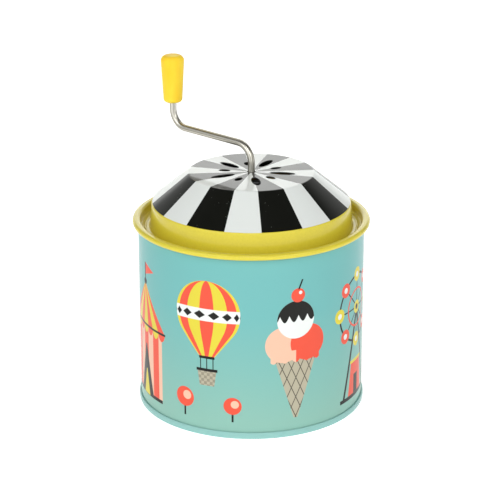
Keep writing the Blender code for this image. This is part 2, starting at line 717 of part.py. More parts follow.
def make_drum_bracket(name, face, outward):
    """Upright bearing plate for the arbor, with a foot that points away from the drum."""
    half = DRUM_BRACKET_WIDTH / 2
    bottom = BED_TOP + FIT_GAP - DRUM_AXIS_HEIGHT
    crown = arc_points((0.0, 0.0), half, 0.0, math.pi)
    mesh = plate_mesh(name, [(-half, bottom), (half, bottom)] + crown, BRACKET_SHEET)
    bracket = add_part(
        name, mesh, "rolled steel",
        location=(face + outward * BRACKET_SHEET / 2, DRUM_AXIS_OFFSET, DRUM_AXIS_HEIGHT),
        rotation=(math.pi / 2, 0.0, math.pi / 2),
    )
    near = face + outward * BRACKET_SHEET / 2
    far = face + outward * (BRACKET_SHEET + BRACKET_FOOT)
    screw_x = face + outward * (BRACKET_SHEET + BRACKET_FOOT / 2)

    def build_foot(shape):
        low = (min(near, far), DRUM_AXIS_OFFSET - half, BED_TOP + FIT_GAP)
        high = (max(near, far), DRUM_AXIS_OFFSET + half, BRACKET_FOOT_TOP)
        put_box(shape, low, high)

    def build_holes(shape):
        reach = BRACKET_SHEET + CUT_MARGIN
        start = (face - reach, DRUM_AXIS_OFFSET, DRUM_AXIS_HEIGHT)
        end = (face + reach, DRUM_AXIS_OFFSET, DRUM_AXIS_HEIGHT)
        put_rod(shape, start, end, ARBOR_RADIUS + RUNNING_GAP, SMALL_STEPS)
        start = (screw_x, DRUM_AXIS_OFFSET, BED_TOP - CUT_MARGIN)
        end = (screw_x, DRUM_AXIS_OFFSET, BRACKET_FOOT_TOP + CUT_MARGIN)
        put_rod(shape, start, end, SCREW_RADIUS + FIT_GAP, SMALL_STEPS)

    combine(bracket, add_tool(name + "_foot", mesh_of(name + "_foot", build_foot)), "UNION")
    combine(bracket, add_tool(name + "_holes", mesh_of(name + "_holes", build_holes)), "DIFFERENCE")
    settle(bracket)


def make_shaft_bracket():
    """Stepped bracket that stands in front of the worm and holds the shaft's upper bush."""
    foot_low = BED_TOP + FIT_GAP
    face = SHAFT_BRACKET_FACE
    front = face - BRACKET_SHEET - BRACKET_FOOT
    back = BUSH_HOLE_RADIUS + BED_EDGE
    arm_top = SHAFT_ARM_BOTTOM + BRACKET_SHEET
    outline = rounded([
        (front, foot_low, 0),
        (face, foot_low, BRACKET_BEND),
        (face, SHAFT_ARM_BOTTOM, 0),
        (back, SHAFT_ARM_BOTTOM, 0),
        (back, arm_top, 0),
        (face - BRACKET_SHEET, arm_top, BRACKET_BEND),
        (face - BRACKET_SHEET, BRACKET_FOOT_TOP, 0),
        (front, BRACKET_FOOT_TOP, 0),
    ])
    bracket = add_part(
        "shaft_bracket", plate_mesh("shaft_bracket", outline, SHAFT_BRACKET_WIDTH), "rolled steel",
        rotation=(math.pi / 2, 0.0, math.pi / 2),
    )
    x, y = shaft_bracket_screw()

    def build_holes(shape):
        start = (0, 0, SHAFT_ARM_BOTTOM - CUT_MARGIN)
        end = (0, 0, arm_top + CUT_MARGIN)
        put_rod(shape, start, end, BUSH_HOLE_RADIUS, FINE_STEPS)
        start = (x, y, foot_low - CUT_MARGIN)
        end = (x, y, BRACKET_FOOT_TOP + CUT_MARGIN)
        put_rod(shape, start, end, SCREW_RADIUS + FIT_GAP, SMALL_STEPS)

    combine(bracket, add_tool("bracket_holes", mesh_of("bracket_holes", build_holes)), "DIFFERENCE")
    settle(bracket)


def make_shaft_bushes():
    """Flanged brass bushes in the bedplate and in the shaft bracket."""
    flange_radius = BUSH_RADIUS + BUSH_FLANGE_REACH
    flange_top = LOWER_FLANGE_BOTTOM + BUSH_FLANGE_SHEET
    lower = [
        (flange_radius, flange_top),
        (flange_radius, LOWER_FLANGE_BOTTOM),
        (BUSH_RADIUS, LOWER_FLANGE_BOTTOM),
        (BUSH_RADIUS, BED_BOTTOM),
        (SHAFT_BORE, BED_BOTTOM),
        (SHAFT_BORE, flange_top),
    ]
    settle(turned_part("lower_shaft_bush", lower, "brass", FINE_STEPS, closed=True))
    bush_top = SHAFT_ARM_BOTTOM + BRACKET_SHEET + FIT_GAP
    flange_top = UPPER_FLANGE_BOTTOM + BUSH_FLANGE_SHEET
    upper = [
        (BUSH_RADIUS, bush_top),
        (BUSH_RADIUS, flange_top),
        (flange_radius, flange_top),
        (flange_radius, UPPER_FLANGE_BOTTOM),
        (SHAFT_BORE, UPPER_FLANGE_BOTTOM),
        (SHAFT_BORE, bush_top),
    ]
    settle(turned_part("upper_shaft_bush", upper, "brass", FINE_STEPS, closed=True))


def make_shaft_rings(crank_axis):
    """Thrust washers at both ends of the worm, and the ring that holds the shaft from below."""
    washer_radius = SHAFT_BORE + WASHER_REACH
    lower = ring_outline(SHAFT_BORE, washer_radius, LOWER_WASHER_BOTTOM, LOWER_WASHER_BOTTOM + WASHER_SHEET)
    upper = ring_outline(SHAFT_BORE, washer_radius, UPPER_WASHER_BOTTOM, UPPER_WASHER_BOTTOM + WASHER_SHEET)
    ring_radius = SHAFT_BORE + SHAFT_RING_WALL
    ring = ring_outline(SHAFT_BORE, ring_radius, SHAFT_RING_TOP - SHAFT_RING_LENGTH, SHAFT_RING_TOP)
    for name, outline in (
        ("lower_thrust_washer", lower),
        ("upper_thrust_washer", upper),
        ("shaft_retaining_ring", ring),
    ):
        settle(turned_part(name, outline, "blued steel", FINE_STEPS, closed=True, parent=crank_axis))


def make_drive_worm(crank_axis):
    """Single-start right-hand worm pressed on the crank wire."""
    core = ring_outline(SHAFT_BORE, WORM_PITCH_RADIUS - TOOTH_DEDENDUM, WORM_BOTTOM, WORM_TOP)
    worm = turned_part("drive_worm", core, "brass", FINE_STEPS, closed=True, parent=crank_axis)
    slope = math.tan(TOOTH_SLOPE)
    root = WORM_PITCH_RADIUS - TOOTH_DEDENDUM - FIT_GAP
    root_half = TOOTH_WIDTH / 2 + (WORM_PITCH_RADIUS - root) * slope
    tip_half = TOOTH_WIDTH / 2 - TOOTH_ADDENDUM * slope
    turns = (WORM_LENGTH - 2 * root_half - FIT_GAP) / WORM_LEAD
    steps = round(turns * WORM_STEPS_PER_TURN)
    half_turn = math.pi * turns

    def build(shape):
        section = [
            (root, -root_half),
            (WORM_TIP_RADIUS, -tip_half),
            (WORM_TIP_RADIUS, tip_half),
            (root, root_half),
        ]
        verts = [shape.verts.new((radius, 0.0, height)) for radius, height in section]
        face = shape.faces.new(verts)
        rise = Vector((0.0, 0.0, turns * WORM_LEAD / steps))
        bmesh.ops.spin(
            shape, geom=[face], cent=(0, 0, 0), axis=(0, 0, 1), dvec=rise,
            angle=2 * half_turn, steps=steps, use_merge=False, use_duplicate=False,
        )
        bmesh.ops.recalc_face_normals(shape, faces=shape.faces)
        start = Matrix.Rotation(math.pi / 2 - half_turn, 4, "Z")
        start.translation = (0.0, 0.0, DRUM_AXIS_HEIGHT - turns * WORM_LEAD / 2)
        bmesh.ops.transform(shape, matrix=start, verts=shape.verts)

    thread = add_tool("worm_thread", mesh_of("worm_thread", build))
    combine(worm, thread, "UNION")
    settle(worm)


def make_worm_wheel(drum_axis):
    """Wheel on the arbor, its teeth set over to the slope of the worm's thread."""
    slope = math.tan(TOOTH_SLOPE)
    root_radius = WHEEL_PITCH_RADIUS - TOOTH_DEDENDUM
    root_half = (TOOTH_WIDTH / 2 + TOOTH_DEDENDUM * slope) / root_radius
    tip_half = (TOOTH_WIDTH / 2 - TOOTH_ADDENDUM * slope) / WHEEL_TIP_RADIUS
    pitch_angle = 2 * math.pi / WHEEL_TEETH
    # The drum axis's local Y is the part's +Y, so a gap between teeth faces the worm at -Y
    first = -math.pi / 2 + pitch_angle / 2
    outline = []
    for tooth in range(WHEEL_TEETH):
        middle = first + tooth * pitch_angle
        for radius, offset in (
            (root_radius, -root_half),
            (WHEEL_TIP_RADIUS, -tip_half),
            (WHEEL_TIP_RADIUS, tip_half),
            (root_radius, root_half),
        ):
            outline.append((radius * math.cos(middle + offset), radius * math.sin(middle + offset)))
    wheel = add_part("worm_wheel", plate_mesh("worm_wheel", outline, WHEEL_WIDTH), "brass", parent=drum_axis)
    twist = wheel.modifiers.new("helix", "SIMPLE_DEFORM")
    twist.deform_method = "TWIST"
    twist.deform_axis = "Z"
    twist.angle = WHEEL_WIDTH * TOOTH_MODULE / (2 * WORM_PITCH_RADIUS) / WHEEL_PITCH_RADIUS

    def build_bore(shape):
        reach = WHEEL_WIDTH / 2 + CUT_MARGIN
        start = (-reach, DRUM_AXIS_OFFSET, DRUM_AXIS_HEIGHT)
        end = (reach, DRUM_AXIS_OFFSET, DRUM_AXIS_HEIGHT)
        put_rod(shape, start, end, ARBOR_RADIUS + FIT_GAP, FINE_STEPS)

    combine(wheel, add_tool("wheel_bore", mesh_of("wheel_bore", build_bore)), "DIFFERENCE")
    settle(wheel)


def make_pinned_drum(drum_axis):
    """Thin-walled drum with rows of pins, one track for each tooth of the comb."""
    outline = ring_outline(DRUM_RADIUS - DRUM_SHEET, DRUM_RADIUS, DRUM_START, DRUM_END)
    drum = turned_part("pinned_drum", outline, "brass", DRUM_STEPS, closed=True, parent=drum_axis)

    def build(shape):
        for track in range(COMB_TEETH):
            height = DRUM_START + TOOTH_PITCH * (track + 0.5)
            for beat in range(PINS_PER_TRACK):
                note = (track * 11 + beat * (13 + track % 3)) % NOTE_STEPS
                angle = 2 * math.pi * (note + 0.5) / NOTE_STEPS
                outward = Vector((math.cos(angle), math.sin(angle), 0.0))
                foot = outward * (DRUM_RADIUS - DRUM_SHEET / 2)
                tip = outward * PIN_TIP_RADIUS
                foot.z = height
                tip.z = height
                put_rod(shape, foot, tip, PIN_RADIUS, 4, end_radius=PIN_RADIUS * 0.7)

    pins = add_tool("drum_pins", mesh_of("drum_pins", build))
    pins.parent = drum_axis
    combine(drum, pins, "UNION")
    settle(drum)


def make_drum_caps(drum_axis):
    """Flanged caps that close the drum's ends and centre it on the arbor."""
    flange_radius = DRUM_RADIUS - CAP_INSET
    spigot_radius = DRUM_RADIUS - DRUM_SHEET - FIT_GAP
    bore = ARBOR_RADIUS + FIT_GAP
    flange_end = LEFT_CAP_START + CAP_FLANGE
    left = [
        (spigot_radius, flange_end + CAP_SPIGOT),
        (spigot_radius, flange_end),
        (flange_radius, flange_end),
        (flange_radius, LEFT_CAP_START),
        (bore, LEFT_CAP_START),
        (bore, flange_end + CAP_SPIGOT),
    ]
    flange_start = RIGHT_CAP_END - CAP_FLANGE
    right = [
        (flange_radius, RIGHT_CAP_END),
        (flange_radius, flange_start),
        (spigot_radius, flange_start),
        (spigot_radius, flange_start - CAP_SPIGOT),
        (bore, flange_start - CAP_SPIGOT),
        (bore, RIGHT_CAP_END),
    ]
    for name, outline in (("drum_cap_left", left), ("drum_cap_right", right)):
        settle(turned_part(name, outline, "black plastic", DRUM_STEPS, closed=True, parent=drum_axis))


def make_drum_arbor(drum_axis):
    """Steel arbor through the wheel, the drum and both drum brackets."""
    start = LEFT_BRACKET_FACE - BRACKET_SHEET - ARBOR_STAND_OUT
    end = RIGHT_BRACKET_FACE + BRACKET_SHEET + ARBOR_STAND_OUT

    def build(shape):
        put_rod(shape, (0, 0, start), (0, 0, end), ARBOR_RADIUS, SMALL_STEPS)

    settle(add_part("drum_arbor", mesh_of("drum_arbor", build), "blued steel", parent=drum_axis))


def comb_outline():
    """Outline of the comb seen from above, its teeth growing longer towards the left."""
    outline = [(COMB_RIGHT, COMB_BACK), (COMB_LEFT, COMB_BACK)]
    for tooth in range(COMB_TEETH):
        share = tooth / (COMB_TEETH - 1)
        length = LONGEST_TOOTH + share * (SHORTEST_TOOTH - LONGEST_TOOTH)
        left = DRUM_START + tooth * TOOTH_PITCH + TOOTH_SLIT / 2
        right = left + TOOTH_PITCH - TOOTH_SLIT
        root = COMB_TIP + length
        if tooth == 0:
            outline.append((COMB_LEFT, root + COMB_MARGIN))
        outline += [(left, root), (left, COMB_TIP), (right, COMB_TIP), (right, root)]
    outline.append((COMB_RIGHT, COMB_TIP + SHORTEST_TOOTH + COMB_MARGIN))
    return outline


def make_tone_comb():
    """Steel comb with one tooth for each track of the drum."""
    mesh = plate_mesh("tone_comb", comb_outline(), COMB_SHEET)
    middle = (COMB_BOTTOM + COMB_TOP) / 2
    comb = add_part("tone_comb", mesh, "blued steel", location=(0.0, 0.0, middle))

    def build_holes(shape):
        for x, y in comb_screws():
            start = (x, y, COMB_BOTTOM - CUT_MARGIN)
            end = (x, y, COMB_TOP + CUT_MARGIN)
            put_rod(shape, start, end, SCREW_RADIUS + FIT_GAP, SMALL_STEPS)

    combine(comb, add_tool("comb_holes", mesh_of("comb_holes", build_holes)), "DIFFERENCE")
    settle(comb)


def bend_points(corner, before, after):
    """Points round one bend of the wire at a corner between two directions."""
    back = -before
    half_angle = back.angle(after) / 2
    centre = corner + (back + after).normalized() * WIRE_BEND / math.sin(half_angle)
    first = corner + back * WIRE_BEND / math.tan(half_angle) - centre
    last = corner + after * WIRE_BEND / math.tan(half_angle) - centre
    turn_axis = first.cross(last).normalized()
    sweep = first.angle(last)
    return [
        centre + Matrix.Rotation(sweep * index / WIRE_BEND_STEPS, 3, turn_axis) @ first
        for index in range(WIRE_BEND_STEPS + 1)
    ]


def make_crank_wire(crank_axis):
    """Bent wire: shaft, level arm and the upright pin that the grip turns on."""
    up = Vector((0.0, 0.0, 1.0))
    lower_corner = up * ARM_HEIGHT
    upper_corner = lower_corner + ARM_DIRECTION * ARM_LENGTH
    pin_end = upper_corner.copy()
    pin_end.z = WIRE_TOP
    route = [up * SHAFT_BOTTOM]
    route += bend_points(lower_corner, up, ARM_DIRECTION)
    route += bend_points(upper_corner, ARM_DIRECTION, up)
    route.append(pin_end)
    curve = bpy.data.curves.new("crank_wire", "CURVE")
    curve.dimensions = "3D"
    curve.bevel_depth = WIRE_RADIUS
    curve.bevel_resolution = WIRE_BEVEL_RESOLUTION
    curve.use_fill_caps = True
    spline = curve.splines.new("POLY")
    spline.points.add(len(route) - 1)
    for spline_point, place in zip(spline.points, route):
        spline_point.co = (*place, 1.0)
    add_part("crank_wire", curve, "nickel wire", parent=crank_axis)


def make_grip(grip_axis):
    """Tapered plastic grip with a stepped blind bore for the pin and its stop ring."""
    bore = WIRE_RADIUS + RUNNING_GAP
    chamber = bore + STOP_RING_WALL + RUNNING_GAP
    neck = STOP_RING_BOTTOM - STOP_RING_LIFT - GRIP_BOTTOM
    roof = GRIP_LENGTH - GRIP_ROOF
    outline = rounded([
        (0.0, GRIP_LENGTH, 0),
        (GRIP_TOP_RADIUS, GRIP_LENGTH, GRIP_TOP_ROUNDING),
        (GRIP_FOOT_RADIUS, 0.0, GRIP_FOOT_ROUNDING),
        (bore, 0.0, 0),
        (bore, neck, 0),
        (chamber, neck, 0),
        (chamber, roof, 0),
        (0.0, roof, 0),
    ])
    settle(turned_part("grip", outline, "yellow plastic", DRUM_STEPS, parent=grip_axis))


def make_stop_ring(crank_axis):
    """Ring pressed on the pin inside the grip, so that the grip can't lift off."""
    inner = WIRE_RADIUS + FIT_GAP / 2
    outer = WIRE_RADIUS + RUNNING_GAP + STOP_RING_WALL
    outline = ring_outline(inner, outer, STOP_RING_BOTTOM, STOP_RING_BOTTOM + STOP_RING_LENGTH)
    place = ARM_DIRECTION * ARM_LENGTH
    ring = turned_part(
        "grip_stop_ring", outline, "blued steel", FINE_STEPS, closed=True,
        parent=crank_axis, location=place,
    )
    settle(ring)


clear_scene()
PARTS = new_collection("hand_crank_music_box")
CUTTERS = new_collection("cutters")

make_can_wall()
make_can_base()
make_lid()
make_movement_bridge()
make_bedplate()
make_shaft_bracket()
make_shaft_bushes()
make_tone_comb()
make_drum_bracket("drum_bracket_left", LEFT_BRACKET_FACE, -1)
make_drum_bracket("drum_bracket_right", RIGHT_BRACKET_FACE, 1)
make_all_screws()

crank = add_axis("crank_axis", (0.0, 0.0, 0.0))
make_crank_wire(crank)
make_drive_worm(crank)
make_shaft_rings(crank)
make_stop_ring(crank)

pin_place = ARM_DIRECTION * ARM_LENGTH + Vector((0.0, 0.0, GRIP_BOTTOM))
make_grip(add_axis("grip_axis", pin_place, parent=crank))

drum_centre = (0.0, DRUM_AXIS_OFFSET, DRUM_AXIS_HEIGHT)
drum = add_axis("drum_axis", drum_centre, rotation=(0.0, math.pi / 2, 0.0))
make_pinned_drum(drum)
make_drum_caps(drum)
make_drum_arbor(drum)
make_worm_wheel(drum)
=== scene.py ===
"""Hand-cranked tin music box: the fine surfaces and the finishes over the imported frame.

Lengths are in metres and the prints are drawn in millimetres. The tin stands on Z = 0
about the Z axis, and -Y is its front.
"""

import json
import math

import bmesh
import bpy
from bpy.props import FloatProperty, FloatVectorProperty, IntProperty, PointerProperty
from mathutils import Matrix, Vector


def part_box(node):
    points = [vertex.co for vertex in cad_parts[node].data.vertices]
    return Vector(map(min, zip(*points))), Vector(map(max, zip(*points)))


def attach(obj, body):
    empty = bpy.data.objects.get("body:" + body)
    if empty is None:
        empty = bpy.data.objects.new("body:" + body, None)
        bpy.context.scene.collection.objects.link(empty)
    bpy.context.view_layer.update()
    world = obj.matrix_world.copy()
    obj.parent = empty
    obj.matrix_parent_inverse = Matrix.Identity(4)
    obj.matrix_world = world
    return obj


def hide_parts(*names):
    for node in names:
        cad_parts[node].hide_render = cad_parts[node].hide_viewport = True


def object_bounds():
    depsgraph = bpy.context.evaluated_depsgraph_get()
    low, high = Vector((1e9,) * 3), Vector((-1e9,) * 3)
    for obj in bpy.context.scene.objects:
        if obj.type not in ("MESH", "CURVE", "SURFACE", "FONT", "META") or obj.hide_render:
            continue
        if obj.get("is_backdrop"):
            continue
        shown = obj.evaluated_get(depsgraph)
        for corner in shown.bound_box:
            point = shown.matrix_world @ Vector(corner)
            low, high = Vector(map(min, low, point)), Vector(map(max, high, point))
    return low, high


bl_info = {
    "name": "Tin Music Box",
    "version": (1, 0, 0),
    "blender": (4, 5, 0),
    "location": "View3D > Sidebar > Music Box",
    "description": "Models and finishes the pieces of a hand-cranked tin music box",
    "category": "Object",
}

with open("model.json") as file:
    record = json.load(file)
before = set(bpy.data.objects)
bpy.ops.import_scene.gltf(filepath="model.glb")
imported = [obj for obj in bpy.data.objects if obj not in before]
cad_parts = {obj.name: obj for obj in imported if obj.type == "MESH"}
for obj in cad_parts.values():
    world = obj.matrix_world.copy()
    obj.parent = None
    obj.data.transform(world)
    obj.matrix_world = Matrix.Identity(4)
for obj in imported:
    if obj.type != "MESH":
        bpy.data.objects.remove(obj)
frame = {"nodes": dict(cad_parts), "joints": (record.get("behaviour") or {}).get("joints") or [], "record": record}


def measured_box():
    """The shown object's lowest and highest corner, as plain lists."""
    bpy.context.view_layer.update()
    return [list(corner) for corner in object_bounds()]


CAD_BOX = measured_box()

# Places that the frame gives
JOINT_PLACES = {joint["name"]: Vector(joint["pos_m"]) for joint in frame["joints"]}
BASE_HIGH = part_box("can_base")[1]
LID_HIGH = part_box("lid")[1]
WIRE_LOW, WIRE_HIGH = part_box("crank_wire")
GRIP_LOW, GRIP_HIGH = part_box("grip")
ARM_HEIGHT = JOINT_PLACES["crank_spin"].z
PIN_PLACE = Vector((*JOINT_PLACES["grip_spin"].xy, 0.0))
PIN_DIRECTION = PIN_PLACE.normalized()
UP = Vector((0.0, 0.0, 1.0))

MM = 1000.0
WELD = 0.000001


# Sizes and colours


def real(name, description, default, unit="LENGTH"):
    """The property of one number, a length unless its unit says otherwise."""
    return FloatProperty(name=name, description=description, default=default, unit=unit)


def colour(name, description, default):
    """The property of a colour."""
    return FloatVectorProperty(
        name=name, description=description, default=default, size=3, subtype="COLOR")


class MUSICBOX_PG_tin(bpy.types.PropertyGroup):
    """Sizes of the can and of its lid."""

    steps: IntProperty(name="Steps", description="Facets round the tin", default=200, min=40)
    sheet: real("Sheet", "Thickness of the tinplate", 0.0004)
    base_seam_rise: real("Base seam rise", "How far the seam stands proud of the wall", 0.0008)
    base_seam_height: real("Base seam height", "Height of the base seam", 0.0030)
    base_seam_crown: real("Base seam crown", "How far its edges lie behind the middle", 0.00015)
    base_lip_gap: real("Base lip gap", "Between the seam's lip and the wall", 0.00008)
    base_recess: real("Base recess", "Height of the panel above the table", 0.0026)
    base_step_inset: real("Base step inset", "From the seam to the panel's step", 0.0060)
    base_step: real("Base step", "Rise of the base panel's step", 0.0008)
    fit_gap: real("Fit gap", "Gap between nested pressings", 0.0003)
    rim_height: real("Rim height", "Height of the centre of the rolled rim", 0.0838)
    rim_roll: real("Rim roll", "Radius of the rolled rim", 0.0013)
    groove_depth: real("Groove depth", "From the rim's centre down to the groove", 0.0028)
    groove_width: real("Groove width", "Width of the countersunk groove", 0.0041)
    bead_width: real("Bead width", "Width of the bead in the groove", 0.0012)
    bead_rise: real("Bead rise", "Rise of the bead in the groove", 0.0005)
    collar_rise: real("Collar rise", "Height of the collar", 0.01077)
    collar_taper: real("Collar taper", "How far the collar leans in", 0.00088)
    dome_top_radius: real("Dome top radius", "Radius of the dome's flat top", 0.0277)
    seam_width: real("Side seam width", "Width of the lock seam", 0.0050)
    seam_rise: real("Side seam rise", "How far the lock seam stands proud", 0.0003)


class MUSICBOX_PG_crank(bpy.types.PropertyGroup):
    """Sizes of the crank wire and of its grip."""

    wire_radius: real("Wire radius", "Radius of the crank wire", 0.0015)
    bend: real("Bend", "Bend radius at the wire's centre", 0.0078)
    hole_clearance: real("Hole clearance", "Between the wire and its hole in the lid", 0.0004)
    grip_top_radius: real("Grip top radius", "Radius of the grip at its top", 0.0054)
    grip_foot_radius: real("Grip foot radius", "Radius of the grip at its foot", 0.0042)
    grip_top_rounding: real("Grip top rounding", "Rounding of the grip's top edge", 0.0025)
    grip_foot_rounding: real("Grip foot rounding", "Rounding of the grip's foot", 0.0016)
    grip_neck: real("Grip neck", "Length of the grip's close bore", 0.0060)
    grip_roof: real("Grip roof", "Solid plastic over the grip's bore", 0.0030)
    grip_chamber: real("Grip chamber", "Radius of the chamber round the stop ring", 0.0028)
    running_gap: real("Running gap", "Gap round the pin in its bore", 0.0003)


class MUSICBOX_PG_inks(bpy.types.PropertyGroup):
    """Colours of the prints and of the grip."""

    turquoise_top: colour("Turquoise, top", "The print's ground, at the top", (0.158, 0.447, 0.441))
    turquoise_foot: colour("Turquoise, foot", "The same, at the foot", (0.246, 0.470, 0.402))
    seam_turquoise: colour("Seam turquoise", "Coating of the base", (0.262, 0.50, 0.475))
    yellow: colour("Yellow", "Yellow of the lid and of the print", (0.71, 0.60, 0.045))
    red: colour("Red", "Red of the print", (0.80, 0.085, 0.045))
    black: colour("Black", "Black of the prints", (0.005, 0.0055, 0.004))
    white: colour("White", "White of the prints", (0.78, 0.81, 0.795))
    peach: colour("Peach", "Peach of the print", (0.83, 0.50, 0.36))
    taupe: colour("Taupe", "Taupe of the print", (0.44, 0.40, 0.30))
    grip_yellow: colour("Grip yellow", "Plastic of the grip", (1.0, 0.60, 0.025))


class MUSICBOX_PG_stage(bpy.types.PropertyGroup):
    """The floor's size and the camera's place."""

    lens: real("Lens", "Focal length", 138.4, "CAMERA")
    distance: real("Distance", "From the camera to its aim", 0.8553)
    pitch: real("Pitch", "How far the camera looks down", math.radians(19.894), "ROTATION")
    aim: FloatVectorProperty(
        name="Aim", description="The point at the picture's centre",
        default=(-0.00058, 0.0, 0.06874), size=3, unit="LENGTH")
    floor_radius: real("Floor radius", "Radius of the pale floor", 3.0)


# Outlines of turned pieces, as (radius, height) points


def arc(centre, radius, start, end, step=math.radians(9)):
    """Points round part of a circle, both ends included."""
    count = max(2, math.ceil(abs(end - start) / step))
    angles = [start + (end - start) * index / count for index in range(count + 1)]
    return [(centre[0] + radius * math.cos(a), centre[1] + radius * math.sin(a)) for a in angles]


def rounded(corners):
    """Points of an open outline of (x, y, bend radius) corners, with its bends as arcs."""
    points = [corners[0][:2]]
    for before, corner, after in zip(corners, corners[1:], corners[2:]):
        if corner[2] == 0:
            points.append(corner[:2])
            continue
        here = Vector(corner[:2])
        back = (Vector(before[:2]) - here).normalized()
        ahead = (Vector(after[:2]) - here).normalized()
        half_angle = back.angle(ahead) / 2
        centre = here + (back + ahead).normalized() * corner[2] / math.sin(half_angle)
        reach = corner[2] / math.tan(half_angle)
        first = here + back * reach - centre
        last = here + ahead * reach - centre
        start = math.atan2(first.y, first.x)
        sweep = (math.atan2(last.y, last.x) - start + math.pi) % (2 * math.pi) - math.pi
        points += arc(centre, corner[2], start, start + sweep)
    points.append(corners[-1][:2])
    return points


def supported(points, reach=0.00012):
    """The same outline with points close to both ends of its long runs, which keep them flat."""
    kept = [points[0]]
    for first, second in zip(points, points[1:]):
        start = Vector(first)
        run = Vector(second) - start
        if run.length > 6 * reach:
            kept.append(tuple(start + run.normalized() * reach))
            kept.append(tuple(start + run - run.normalized() * reach))
        kept.append(second)
    return kept


# Meshes and objects


def spin_outline(shape, points, steps):
    """Turn an outline once about Z and close its seam and its poles."""
    verts = [shape.verts.new((radius, 0.0, height)) for radius, height in points]
    edges = [shape.edges.new(pair) for pair in zip(verts, verts[1:])]
    bmesh.ops.spin(shape, geom=verts + edges, axis=UP, angle=2 * math.pi, steps=steps, use_merge=True)
    bmesh.ops.remove_doubles(shape, verts=shape.verts, dist=WELD)


def spin_sheet(shape, points, steps):
    """Spin a sheet with its faces to the left of its outline, which is the printed side."""
    spin_outline(shape, points, steps)
    first, second = max(zip(points, points[1:]), key=lambda pair: math.dist(*pair))
    run = Vector(second) - Vector(first)
    middle = (Vector(first) + Vector(second)) / 2
    outward = Vector((-run.y, 0.0, run.x))
    probe = Vector((middle.x, 0.0, middle.y))
    nearest = min(shape.faces, key=lambda face: (face.calc_center_median() - probe).length)
    if nearest.normal.dot(outward) < 0:
        bmesh.ops.reverse_faces(shape, faces=shape.faces)


def boundary_ring(shape, height):
    """The open edges of a sheet that lie at a height."""
    return [
        edge for edge in shape.edges
        if edge.is_boundary and all(abs(vert.co.z - height) < WELD for vert in edge.verts)
    ]


def unique(items):
    """A list of the items in order, each once."""
    return list(dict.fromkeys(items))


def put_ellipse(shape, long, wide, segments, place):
    """The edges of an ellipse whose long axis is X before it is placed."""
    made = bmesh.ops.create_circle(
        shape, radius=0.5, segments=segments,
        matrix=place @ Matrix.Diagonal((long, wide, 1.0, 1.0)))
    return unique(edge for vert in made["verts"] for edge in vert.link_edges)


def new_object(name, build, materials):
    """An object from a function that fills a bmesh."""
    shape = bmesh.new()
    build(shape)
    mesh = bpy.data.meshes.new(name)
    shape.to_mesh(mesh)
    shape.free()
    for material in materials:
        mesh.materials.append(material)
    made = bpy.data.objects.new(name, mesh)
    bpy.context.scene.collection.objects.link(made)
    return made


def new_piece(name, build, materials, body, slot, *nodes):
    """A new object that rides on a body in place of CAD nodes."""
    piece = new_object(name, build, materials)
    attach(piece, body)
    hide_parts(*nodes)
    return piece


def thicken(piece, thickness, inside=1):
    """Give a printed sheet its thickness, inwards, with another finish inside and on its edges."""
    modifier = piece.modifiers.new("sheet", "SOLIDIFY")
    modifier.thickness = thickness
    modifier.offset = -1.0
    modifier.use_even_offset = True
    modifier.material_offset = inside
    modifier.material_offset_rim = inside


def soften(piece, width, segments=3, sharp_above=40):
    """Round a piece's sharp edges."""
    modifier = piece.modifiers.new("edges", "BEVEL")
    modifier.width = width
    modifier.segments = segments
    modifier.limit_method = "ANGLE"
    modifier.angle_limit = math.radians(sharp_above)


def settle(piece, smooth_below=28):
    """Keep the mesh that the modifiers make, shaded smooth up to its sharp edges."""
    graph = bpy.context.evaluated_depsgraph_get()
    graph.update()
    mesh = bpy.data.meshes.new_from_object(piece.evaluated_get(graph))
    mesh.name = piece.name
    piece.modifiers.clear()
    piece.data = mesh
    mesh.shade_smooth()
    mesh.set_sharp_from_angle(angle=math.radians(smooth_below))


def hold_to_frame(pieces, node, slack=0.0002):
    """Stop if pieces don't fill the box of the CAD node that they replace."""
    axes = list(zip(*(vert.co for piece in pieces for vert in piece.data.vertices)))
    low = Vector([min(axis) for axis in axes])
    high = Vector([max(axis) for axis in axes])
    cad_low, cad_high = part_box(node)
    if (low - cad_low).length > slack or (high - cad_high).length > slack:
        raise RuntimeError(f"{node} has the box {cad_low} {cad_high}, not {low} {high}")


# Shader maths


def math_node(operation):
    """A method that adds a Math node of a signal and of any others."""

    def method(self, *others):
        return self.nodes.math(operation, self, *others)

    return method


class Signal:
    """A shader's socket that adds Math nodes when it is used in an expression."""

    __add__ = math_node("ADD")
    __sub__ = math_node("SUBTRACT")
    __mul__ = math_node("MULTIPLY")
    __truediv__ = math_node("DIVIDE")
    __mod__ = math_node("FLOORED_MODULO")
    __abs__ = math_node("ABSOLUTE")
    __gt__ = math_node("GREATER_THAN")
    __lt__ = math_node("LESS_THAN")
    at_least = math_node("MAXIMUM")
    at_most = math_node("MINIMUM")
    floor = math_node("FLOOR")
    root = math_node("SQRT")
    sine = math_node("SINE")
    cosine = math_node("COSINE")
    arcsine = math_node("ARCSINE")
    arctan2 = math_node("ARCTAN2")

    def __init__(self, nodes, socket):
        self.nodes = nodes
        self.socket = socket

    def __rsub__(self, other):
        return self.nodes.math("SUBTRACT", other, self)

    def __neg__(self):
        return self * -1.0

    def odd(self):
        """1 in every second unit, 0 in the others."""
        return (self.floor() % 2.0) > 0.5

    def between(self, low, high, to_low=0.0, to_high=1.0, curve="LINEAR"):
        """Rescaled from one range to another, and kept inside it."""
        return self.nodes.node(
            "ShaderNodeMapRange", {"clamp": True, "interpolation_type": curve},
            {"Value": self, 1: low, 2: high, 3: to_low, 4: to_high})

    def band(self, foot, rise, fall, top):
        """1 inside a band of values, with soft edges."""
        return self.between(foot, rise) * self.between(fall, top, 1.0, 0.0)


